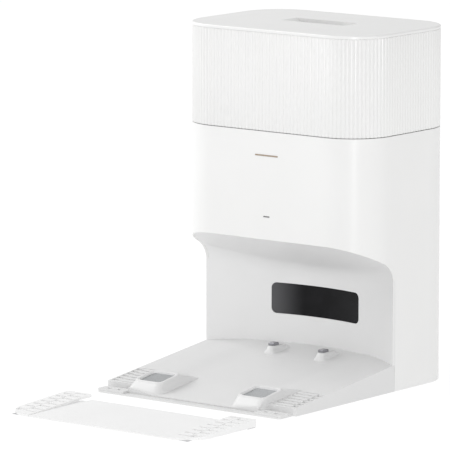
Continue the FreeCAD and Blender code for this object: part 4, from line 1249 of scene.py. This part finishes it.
# ---------------------------------------------------------------- base
@dataclass
class Mound:
    """A smooth moulded rise with a flat top, an opening in it and a flared foot."""

    name: str
    opening: Plan
    shoulder: Plan
    foot: Plan
    top: Height
    ground: Height
    edge: float
    lip: float
    floor_z: float
    depth: float
    steps: int = 9
    lip_steps: int = 3
    edge_steps: int = 4
    side_curve: float = 2.4
    front_curve: float = 1.6

    def mesh(self, material: bpy.types.Material) -> bpy.types.Mesh:
        """Skins the rise from inside its opening to under its foot.

        Args:
            material: its finish.

        Returns:
            The rise's mesh.
        """
        shoulder = self.shoulder
        rings = [self.opening.ring(lambda x, y: self.top(x, y) - self.depth)]
        lip = self.lip
        for step in range(self.lip_steps + 1):
            angle = math.pi / 2 * step / self.lip_steps
            out, down = lip * (1 - math.cos(angle)), lip * (1 - math.sin(angle))
            rings.append(self.opening.grown(out).ring(lambda x, y, d=down: self.top(x, y) - d))
        for step in range(self.edge_steps + 1):
            angle = math.pi / 2 * step / self.edge_steps
            into, down = self.edge * (1 - math.sin(angle)), self.edge * (1 - math.cos(angle))
            rings.append(shoulder.grown(-into).ring(lambda x, y, d=down: self.top(x, y) - d))
        for step in range(1, self.steps + 1):
            share = step / self.steps
            front_share = 1 - (1 - share) ** self.front_curve
            plan = shoulder.towards(self.foot, share ** self.side_curve, front_share, share)
            rings.append(self._slope(plan, share))
        rings.append(self.foot.ring(lambda x, y: self.floor_z))
        inner = self.opening.ring(lambda x, y: self.floor_z)
        mesh = skin_rings(self.name, [inner] + rings, True, material)
        tidy_mesh(mesh, 40.0)
        return mesh

    def _slope(self, plan: Plan, share: float) -> list[Vector]:
        """One ring of the flank.

        Args:
            plan: the ring's outline.
            share: how far down it lies.

        Returns:
            The ring's points.
        """
        def height(x: float, y: float) -> float:
            """The flank's height at a place in plan."""
            start = self.top(x, y) - self.edge
            return start + (self.ground(x, y) - start) * share
        return plan.ring(height)


@dataclass
class Base:
    """The sloping base: floor, dust vents and charging contacts."""

    palette: Palette
    surface: BaseSurface
    vent_rim: float = 3.2 * MM
    vent_corner: float = 6.0 * MM
    vent_flare: float = 3.8 * MM
    vent_nose: float = 12.0 * MM
    vent_tail: float = 34.0 * MM
    vent_tip: float = 1.5 * MM
    vent_edge: float = 1.4 * MM
    vent_lip: float = 0.5 * MM
    vent_depth: float = 8.0 * MM
    vent_rim_slope: float = 0.165
    fit_gap: float = 0.2 * MM
    moving_gap: float = 0.4 * MM
    pod_corner: float = 6.0 * MM
    pod_tail: float = 8.6 * MM
    pod_draft: float = 3.4 * MM
    pod_edge: float = 1.5 * MM
    pod_lip: float = 0.3 * MM
    mesh_pitch: float = 2.4 * MM
    mesh_bar: float = 0.9 * MM
    contact_flange: float = 1.6 * MM
    wire: float = 0.4 * MM
    wire_sides: int = 10
    coils: float = 6.0
    coil_steps: int = 28
    frame_bars: float = 2.0
    cross_bar_share: float = 0.8

    def build(self) -> None:
        """Makes the vents, grilles, pods and springs, and dresses the rest."""
        self.palette.dress(Slot.BASE, "base_ramp", "base_bottom", "contact_carrier")
        self.palette.dress(Slot.VENT_SEAL, "vent_seal_left", "vent_seal_right")
        self.palette.dress(Slot.CONTACT, "charging_contact_left", "charging_contact_right")
        for side in ("left", "right"):
            self.vent(side)
            self.grille(side)
            self.pod(side)
            self.spring(side)

    def vent(self, side: str) -> None:
        """Makes the housing round one dust vent.

        Args:
            side: "left" or "right".
        """
        low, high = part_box("vent_seal_" + side)
        corner = self.vent_corner - self.fit_gap
        opening = Plan(low.x, high.x, low.y, high.y, corner, corner).grown(self.fit_gap)
        rim_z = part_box("vent_housing_" + side)[1].z
        rear = opening.y_high + self.vent_rim

        def top(_x: float, y: float) -> float:
            """The height of the vent's sloping top."""
            return rim_z + self.vent_rim_slope * (y - rear)

        out = self.vent_rim + self.vent_flare
        foot = Plan(opening.x_low - out, opening.x_high + out, opening.y_low - self.vent_nose,
                    opening.y_high + self.vent_tail, self.vent_corner + self.vent_rim, self.vent_tip)
        mound = Mound("dust_vent_" + side, opening, opening.grown(self.vent_rim), foot, top, self.ground,
                      self.vent_edge, self.vent_lip, self.surface.bottom_z, self.vent_depth)
        add_piece(mound.mesh(self.palette.materials[Slot.BASE]), "dock", Slot.BASE, "vent_housing_" + side)

    def ground(self, x: float, y: float) -> float:
        """The height that a foot meets: the floor, or the bottom's lip in front of it.

        Args:
            x: the place across the base.
            y: the place along it.

        Returns:
            The height at that place.
        """
        if y < self.surface.track_front_y and abs(x) > self.surface.track_inner_x:
            return self.surface.bottom_z
        return self.surface.height(x, y)

    def grille(self, side: str) -> None:
        """Makes the perforated grille in one dust vent: crossed bars on a sloping frame.

        Args:
            side: "left" or "right".
        """
        low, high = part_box("vent_grille_" + side)
        run, rise = high.y - low.y, self.vent_rim_slope * (high.y - low.y)
        thickness = high.z - low.z - rise
        maker = Maker("perforated grille " + side)
        width, length, height = maker.size("Width"), maker.size("Length"), maker.size("Thickness")
        pitch, bar = maker.size("Pitch"), maker.size("Bar")
        lengthways = self._bars(maker, width, pitch, maker.combine(bar, length, height), (1.0, 0.0, 0.0))
        cross_bar = maker.combine(width, bar, height * self.cross_bar_share)
        crossways = self._bars(maker, length, pitch, cross_bar, (0.0, 1.0, 0.0))
        border = bar * self.frame_bars
        frame_y = (length - border) * 0.5
        frame_x = (width - border) * 0.5
        ends = maker.box(maker.combine(width, border, height))
        sides = maker.box(maker.combine(border, length, height))
        grid = maker.joined(lengthways, crossways,
                            maker.moved(ends, maker.combine(0.0, frame_y, 0.0)),
                            maker.moved(ends, maker.combine(0.0, frame_y * -1.0, 0.0)),
                            maker.moved(sides, maker.combine(frame_x, 0.0, 0.0)),
                            maker.moved(sides, maker.combine(frame_x * -1.0, 0.0, 0.0)))
        centre = (low + high) / 2
        x, y, z = maker.split(maker.add("GeometryNodeInputPosition").out())
        sheared = maker.combine(x + centre.x, y + centre.y, z + y * self.vent_rim_slope + centre.z)
        solid = maker.add("GeometryNodeRealizeInstances", None, {"Geometry": grid}).out("Geometry")
        placed = maker.add("GeometryNodeSetPosition", None,
                           {"Geometry": solid, "Position": sheared}).out("Geometry")
        inset = 2.0 * self.fit_gap
        mesh = maker.make("perforated_grille_" + side, placed, self.palette.materials[Slot.GRILLE], {
            "Width": high.x - low.x - inset, "Length": run - inset, "Thickness": thickness,
            "Pitch": self.mesh_pitch, "Bar": self.mesh_bar})
        tidy_mesh(mesh, 30.0)
        add_piece(mesh, "dock", Slot.GRILLE, "vent_grille_" + side)

    @staticmethod
    def _bars(maker: Maker, span: Value, pitch: Value, size: Value, axis: Triple) -> Value:
        """A row of equal bars, spread evenly over a span.

        Args:
            maker: the tree.
            span: the room across the bars.
            pitch: the distance from bar to bar.
            size: one bar's size.
            axis: the direction they are spread in.

        Returns:
            The bars as instances.
        """
        count = (span / pitch).floor() - 1.0
        reach = (span - pitch) * 0.5
        start = maker.scaled(axis, reach * -1.0)
        step = maker.scaled(axis, reach * 2.0 / (count - 1.0))
        return maker.on_points(maker.row(count, start, step), maker.box(size))

    def pod(self, side: str) -> None:
        """Makes the smooth pod round one charging contact.

        Args:
            side: "left" or "right".
        """
        low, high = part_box("contact_pod_" + side)
        near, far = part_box("charging_contact_" + side)
        flange = self.contact_flange
        opening = Plan(near.x + flange, far.x - flange, near.y + flange, far.y - flange,
                       self.pod_lip, self.pod_lip).grown(self.moving_gap)
        foot = Plan(low.x, high.x, low.y, high.y, self.pod_corner, self.pod_tail)
        corner = self.pod_corner - self.moving_gap
        shoulder = Plan(low.x + self.pod_draft, high.x - self.pod_draft, low.y + self.pod_draft,
                        high.y - 2 * self.pod_draft, corner, corner)
        mound = Mound("charging_pod_" + side, opening, shoulder, foot, lambda _x, _y: high.z,
                      self.surface.height, self.pod_edge, self.pod_lip, low.z, high.z - low.z)
        add_piece(mound.mesh(self.palette.materials[Slot.BASE]), "dock", Slot.BASE, "contact_pod_" + side)

    def spring(self, side: str) -> None:
        """Makes the coil spring under one charging contact.

        Args:
            side: "left" or "right".
        """
        low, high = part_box("contact_spring_" + side)
        maker = Maker("coil spring " + side)
        turns, coil, height = maker.size("Turns"), maker.size("Coil Radius"), maker.size("Height")
        wire = maker.size("Wire Radius")
        path = maker.add("GeometryNodeCurveSpiral", None,
                         {"Resolution": self.coil_steps, "Rotations": turns, "Start Radius": coil,
                          "End Radius": coil, "Height": height}).out("Curve")
        ring = maker.add("GeometryNodeCurvePrimitiveCircle", None,
                         {"Resolution": self.wire_sides, "Radius": wire}).out("Curve")
        coiled = maker.add("GeometryNodeCurveToMesh", None,
                           {"Curve": path, "Profile Curve": ring, "Fill Caps": True}).out("Mesh")
        centre = (low + high) / 2
        placed = maker.moved(coiled, (centre.x, centre.y, low.z + self.wire))
        mesh = maker.make("coil_spring_" + side, placed, self.palette.materials[Slot.STEEL], {
            "Turns": self.coils, "Coil Radius": (high.x - low.x) / 2 - self.wire,
            "Height": high.z - low.z - 2 * self.wire, "Wire Radius": self.wire})
        tidy_mesh(mesh, 40.0)
        piece = add_piece(mesh, "dock", Slot.STEEL, "contact_spring_" + side)
        joint = next(j for j in frame["joints"] if j["name"] == "contact_press_" + side)
        length = high.z - low.z
        keep = (length - joint["range_m"][1]) / length
        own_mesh(piece)


# ---------------------------------------------------------------- ramp plate, bag and inside
@dataclass
class RampPlate:
    """The loose plate that a robot climbs to reach the base."""

    palette: Palette

    def build(self) -> None:
        """Dresses the plate."""
        self.palette.dress(Slot.RAMP, "ramp_sheet", "ramp_track_left", "ramp_track_right")
        self.palette.dress(Slot.SEAL, "ramp_feet")


@dataclass
class Inside:
    """What the casing holds: ducts, fan, filter, bag, boards and wiring."""

    palette: Palette
    blades: int = 9
    blade: float = 1.4 * MM
    disc: float = 2.0 * MM
    hub_radius: float = 7.5 * MM
    hub_height: float = 13.0 * MM
    hub_bore: float = 3.0 * MM
    sweep_deg: float = 38.0
    pleats: int = 30
    pleat_skin: float = 0.5 * MM
    filter_frame: float = 2.5 * MM
    bag_corner: float = 22.0 * MM
    bag_crease: float = 4.5 * MM
    bag_crease_size: float = 34.0 * MM
    neck_radius: float = 19.0 * MM
    neck_reach: float = 12.0 * MM
    neck_sides: int = 48
    blade_root: float = 0.9
    blade_bend: tuple[float, float] = (0.6, 0.05)
    blade_steps: int = 12
    rim_sides: int = 96
    hub_sides: int = 48
    bore_sides: int = 32
    bore_overrun: float = 3.0
    bag_cells: tuple[int, int, int] = (72, 48, 36)
    crease_detail: float = 3.0
    crease_twist: float = 0.6

    def build(self) -> None:
        """Makes the fan's wheel, the filter and the bag, and dresses the rest."""
        self.palette.dress(Slot.INNER, "compartment_deck", "bag_chamber", "bag_rails", "lower_ducts",
                           "cross_duct", "riser_duct", "fan_inlet_duct", "fan_housing", "power_inlet")
        self.palette.dress(Slot.SEAL, "port_seal", "motor_mount")
        self.palette.dress(Slot.MOTOR, "motor_can")
        self.palette.dress(Slot.STEEL, "motor_bearings", "motor_shaft")
        self.palette.dress(Slot.BRASS, "inlet_pins")
        self.palette.dress(Slot.BOARD, "infrared_board", "main_board", "power_board")
        self.palette.dress(Slot.FOAM, "inlet_filter")
        self.palette.dress(Slot.COLLAR, "bag_collar")
        self.palette.dress(Slot.LEAD, "wiring_harness")
        self.wheel()
        self.filter()
        self.bag()

    def wheel(self) -> None:
        """Makes the fan's wheel: a disc, a hub and backward-curved blades."""
        low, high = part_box("impeller")
        centre = (low + high) / 2
        maker = Maker("fan wheel")
        radius, height, count = maker.size("Radius"), maker.size("Height"), maker.size("Blades", whole=True)
        blade, disc = maker.size("Blade"), maker.size("Disc")
        hub, rise, bore = maker.size("Hub Radius"), maker.size("Hub Height"), maker.size("Bore")
        sweep = math.radians(self.sweep_deg)
        reach = radius - blade
        bend_x, bend_y = self.blade_bend
        path = maker.add("GeometryNodeCurveQuadraticBezier", None, {
            "Resolution": self.blade_steps, "Start": maker.combine(hub * self.blade_root, 0.0, 0.0),
            "Middle": maker.combine(reach * bend_x, reach * bend_y, 0.0),
            "End": maker.combine(reach * math.cos(sweep), reach * -math.sin(sweep), 0.0)}).out("Curve")
        section = maker.add("GeometryNodeCurvePrimitiveQuadrilateral", None,
                            {"Width": blade, "Height": height - disc}).out("Curve")
        vane = maker.add("GeometryNodeCurveToMesh", None,
                         {"Curve": path, "Profile Curve": section, "Fill Caps": True}).out("Mesh")
        vane = maker.moved(vane, maker.combine(0.0, 0.0, (height + disc) * 0.5))
        seats = maker.add("GeometryNodeMeshCircle", None, {"Vertices": count, "Radius": 0.0}).out("Mesh")
        index = maker.add("GeometryNodeInputIndex").out("Index")
        vanes = maker.on_points(seats, vane, maker.combine(0.0, 0.0, index * math.tau / count))
        plate = maker.moved(maker.drum(radius, disc, self.rim_sides), maker.combine(0.0, 0.0, disc * 0.5))
        boss = maker.moved(maker.drum(hub, rise, self.hub_sides), maker.combine(0.0, 0.0, rise * 0.5))
        hole = maker.drum(bore, rise * self.bore_overrun, self.bore_sides)
        core = maker.add("GeometryNodeMeshBoolean", {"operation": "UNION"},
                         {"Mesh": [plate, boss]}).out("Mesh")
        core = maker.add("GeometryNodeMeshBoolean", {"operation": "DIFFERENCE"},
                         {"Mesh 1": core, "Mesh 2": hole}).out("Mesh")
        placed = maker.moved(maker.joined(core, vanes), (centre.x, centre.y, low.z))
        mesh = maker.make("fan_wheel", placed, self.palette.materials[Slot.IMPELLER], {
            "Radius": (high.x - low.x) / 2, "Height": high.z - low.z, "Blades": self.blades,
            "Blade": self.blade, "Disc": self.disc, "Hub Radius": self.hub_radius,
            "Hub Height": self.hub_height, "Bore": self.hub_bore})
        tidy_mesh(mesh, 40.0)
        add_piece(mesh, "fan_rotor", Slot.IMPELLER, "impeller")

    def filter(self) -> None:
        """Makes the exhaust filter: a folded sheet in a frame."""
        low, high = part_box("exhaust_filter")
        centre, size = (low + high) / 2, high - low
        maker = Maker("exhaust filter")
        width, depth, height = maker.size("Width"), maker.size("Depth"), maker.size("Height")
        count, skin, edge = maker.size("Pleats", whole=True), maker.size("Skin"), maker.size("Frame")
        span = width - edge * 2.0
        pitch = span / count
        row = maker.row(count, maker.combine((span - pitch) * -0.5, 0.0, 0.0),
                        maker.combine(pitch, 0.0, 0.0))
        fold = maker.box(maker.combine(skin, depth - edge, height - edge * 2.0))
        lean = (pitch / (depth - edge)).arctangent()
        parity = maker.add("GeometryNodeInputIndex").out("Index") % 2.0
        folds = maker.on_points(row, fold, maker.combine(0.0, 0.0, lean * (parity * 2.0 - 1.0)))
        post = maker.box(maker.combine(edge, depth, height))
        rail = maker.box(maker.combine(width, depth, edge))
        side, top = (width - edge) * 0.5, (height - edge) * 0.5
        whole = maker.joined(folds, maker.moved(post, maker.combine(side, 0.0, 0.0)),
                             maker.moved(post, maker.combine(side * -1.0, 0.0, 0.0)),
                             maker.moved(rail, maker.combine(0.0, 0.0, top)),
                             maker.moved(rail, maker.combine(0.0, 0.0, top * -1.0)))
        foam = self.palette.materials[Slot.FOAM]
        mesh = maker.make("pleated_filter", maker.moved(whole, tuple(centre)), foam, {
            "Width": size.x, "Depth": size.y, "Height": size.z, "Pleats": self.pleats,
            "Skin": self.pleat_skin, "Frame": self.filter_frame})
        tidy_mesh(mesh, 30.0, outward=False)
        add_piece(mesh, "dock", Slot.FOAM, "exhaust_filter")

    def bag(self) -> None:
        """Makes the filled bag: a soft cushion with creases, and its neck."""
        low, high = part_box("dust_bag")
        collar_low, collar_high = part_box("bag_collar")
        middle = (collar_low + collar_high) / 2
        neck_reach = self.neck_reach
        body_high = Vector((collar_low.x - neck_reach / 3, high.y, high.z))
        centre, half = (low + body_high) / 2, (body_high - low) / 2
        maker = Maker("filled bag")
        corner, crease, density = maker.size("Corner"), maker.size("Crease"), maker.size("Crease Density")
        cushion = maker.add("GeometryNodeMeshCube", None, {
            "Size": tuple(half * 2), "Vertices X": self.bag_cells[0], "Vertices Y": self.bag_cells[1],
            "Vertices Z": self.bag_cells[2]}).out("Mesh")
        place = maker.add("GeometryNodeInputPosition").out()
        reach = maker.vector("SUBTRACT", tuple(half), maker.combine(corner, corner, corner))
        floor = maker.vector("MULTIPLY", reach, (-1.0, -1.0, -1.0))
        core = maker.vector("MINIMUM", maker.vector("MAXIMUM", place, floor), reach)
        outward = maker.vector("NORMALIZE", maker.vector("SUBTRACT", place, core))
        folds = maker.add("ShaderNodeTexNoise", None, {
            "Vector": place, "Scale": density, "Detail": self.crease_detail,
            "Distortion": self.crease_twist}).out("Fac")
        depth = corner - abs(folds - 0.5) * crease * 2.0 - folds * crease
        swell = maker.scaled(outward, depth)
        soft = maker.add("GeometryNodeSetPosition", None, {
            "Geometry": cushion, "Position": maker.vector("ADD", core, swell)}).out("Geometry")
        neck = maker.moved(maker.drum(self.neck_radius, neck_reach, self.neck_sides),
                           (high.x - neck_reach / 2 - centre.x, middle.y - centre.y, middle.z - centre.z),
                           (0.0, math.pi / 2, 0.0))
        whole = maker.moved(maker.joined(soft, neck), tuple(centre))
        mesh = maker.make("fleece_bag", whole, self.palette.materials[Slot.BAG], {
            "Corner": self.bag_corner, "Crease": self.bag_crease,
            "Crease Density": 1.0 / self.bag_crease_size})
        tidy_mesh(mesh, 60.0)
        add_piece(mesh, "bag", Slot.BAG, "dust_bag")


# ---------------------------------------------------------------- studio
@dataclass(frozen=True)
class Lamp:
    """A soft rectangular light that faces the object.

    Its angles are degrees round from the front, towards +X, and above the horizon.
    """

    name: str
    azimuth_deg: float
    elevation_deg: float
    distance: float
    size: tuple[float, float]
    watts: float

    def build(self, aim: Vector) -> None:
        """Puts the light in the scene, facing the aim."""
        data = bpy.data.lights.new(self.name, "AREA")
        data.shape = "RECTANGLE"
        data.size, data.size_y = self.size
        data.energy = self.watts
        stand(self.name, data, aim, self.azimuth_deg, self.elevation_deg, self.distance)


def stand(name: str, data: bpy.types.ID, aim: Vector, azimuth: float, elevation: float,
          distance: float) -> bpy.types.Object:
    """Stands a light or a camera round an aim, facing it.

    Args:
        name: the object's name.
        data: the light or the camera.
        aim: the point it faces.
        azimuth: degrees round from the front, towards +X.
        elevation: degrees above the horizon.
        distance: how far away it stands.

    Returns:
        The object.
    """
    placed = bpy.data.objects.new(name, data)
    turn, rise = math.radians(azimuth), math.radians(elevation)
    back = Vector((math.sin(turn) * math.cos(rise), -math.cos(turn) * math.cos(rise), math.sin(rise)))
    placed.location = aim + back * distance
    placed.rotation_euler = (math.pi / 2 - rise, 0.0, turn)
    bpy.context.scene.collection.objects.link(placed)
    return placed


@dataclass
class Studio:
    """A pale floor, soft light all round and one long lens."""

    azimuth_deg: float = 38.147
    elevation_deg: float = 9.050
    distance: float = 6.2426
    lens: float = 392.6
    aim_share: Triple = (0.2963, 0.5977, 0.4446)
    sky: float = 0.74
    floor_glow: float = 0.90
    floor_half: float = 30.0
    floor_colour: Colour = (0.10, 0.10, 0.10)
    floor_drift: float = 0.02
    floor_patch: float = 0.5
    floor_roughness: float = 0.9
    backdrop: float = 1.05
    sensor_width: float = 36.0
    farthest: float = 100.0
    lamps: tuple[Lamp, ...] = (
        Lamp("key_light", -76.0, 36.0, 3.2, (2.2, 2.2), 60.0),
        Lamp("corner_strip", 44.0, 3.0, 3.0, (0.10, 2.4), 34.0),
    )

    def build(self) -> None:
        """Makes the world, floor, lights and camera."""
        low, high = (Vector(corner) for corner in CAD_BOX)
        size = high - low
        aim = low + Vector([share * length for share, length in zip(self.aim_share, size)])
        self.world()
        self.floor()
        for lamp in self.lamps:
            lamp.build(aim)
        self.camera(aim)

    def world(self) -> None:
        """Even white light from every side."""
        world = bpy.data.worlds.new("studio")
        world.use_nodes = True
        tree = Tree(world.node_tree)
        tree.tree.nodes.clear()
        white = (1.0, 1.0, 1.0)
        sky = tree.add("ShaderNodeBackground", None, {"Color": white, "Strength": self.sky})
        bright = tree.add("ShaderNodeBackground", None, {"Color": white, "Strength": self.backdrop})
        rays = tree.add("ShaderNodeLightPath").out("Is Camera Ray")
        seen = tree.add("ShaderNodeMixShader", None, {0: rays, 1: sky.out(), 2: bright.out()})
        tree.add("ShaderNodeOutputWorld", None, {"Surface": seen.out()})
        bpy.context.scene.world = world
        bpy.context.scene.view_settings.view_transform = "Standard"

    def floor(self) -> None:
        """A plain pale floor that glows a little, as a lit backdrop does."""
        half = self.floor_half
        mesh = bpy.data.meshes.new("studio_floor")
        corners = [(-half, -half, 0), (half, -half, 0), (half, half, 0), (-half, half, 0)]
        mesh.from_pydata(corners, [], [(0, 1, 2, 3)])
        shader = Shader("studio_floor")
        mesh.materials.append(shader.surface({
            "Base Color": shader.tinted(self.floor_colour, shader.noise(self.floor_patch), self.floor_drift),
            "Roughness": self.floor_roughness,
            "Emission Color": (1.0, 1.0, 1.0), "Emission Strength": self.floor_glow}))
        floor = bpy.data.objects.new("studio_floor", mesh)
        bpy.context.scene.collection.objects.link(floor)

    def camera(self, aim: Vector) -> None:
        """Places a long lens a few metres away, a little above the object's middle.

        Args:
            aim: the point it faces.
        """
        data = bpy.data.cameras.new("camera")
        data.lens = self.lens
        data.sensor_width = self.sensor_width
        data.clip_end = self.farthest
        bpy.context.scene.camera = stand("camera", data, aim, self.azimuth_deg, self.elevation_deg,
                                         self.distance)


def main() -> None:
    """Builds the studio and each sub-assembly."""
    logging.basicConfig(level=logging.INFO, format="%(message)s")
    Studio().build()
    palette = Palette()
    Tower(palette).build()
    Cover(palette).build()
    Base(palette, BaseSurface.read()).build()
    RampPlate(palette).build()
    Inside(palette).build()


if __name__ == "__main__":
    main()
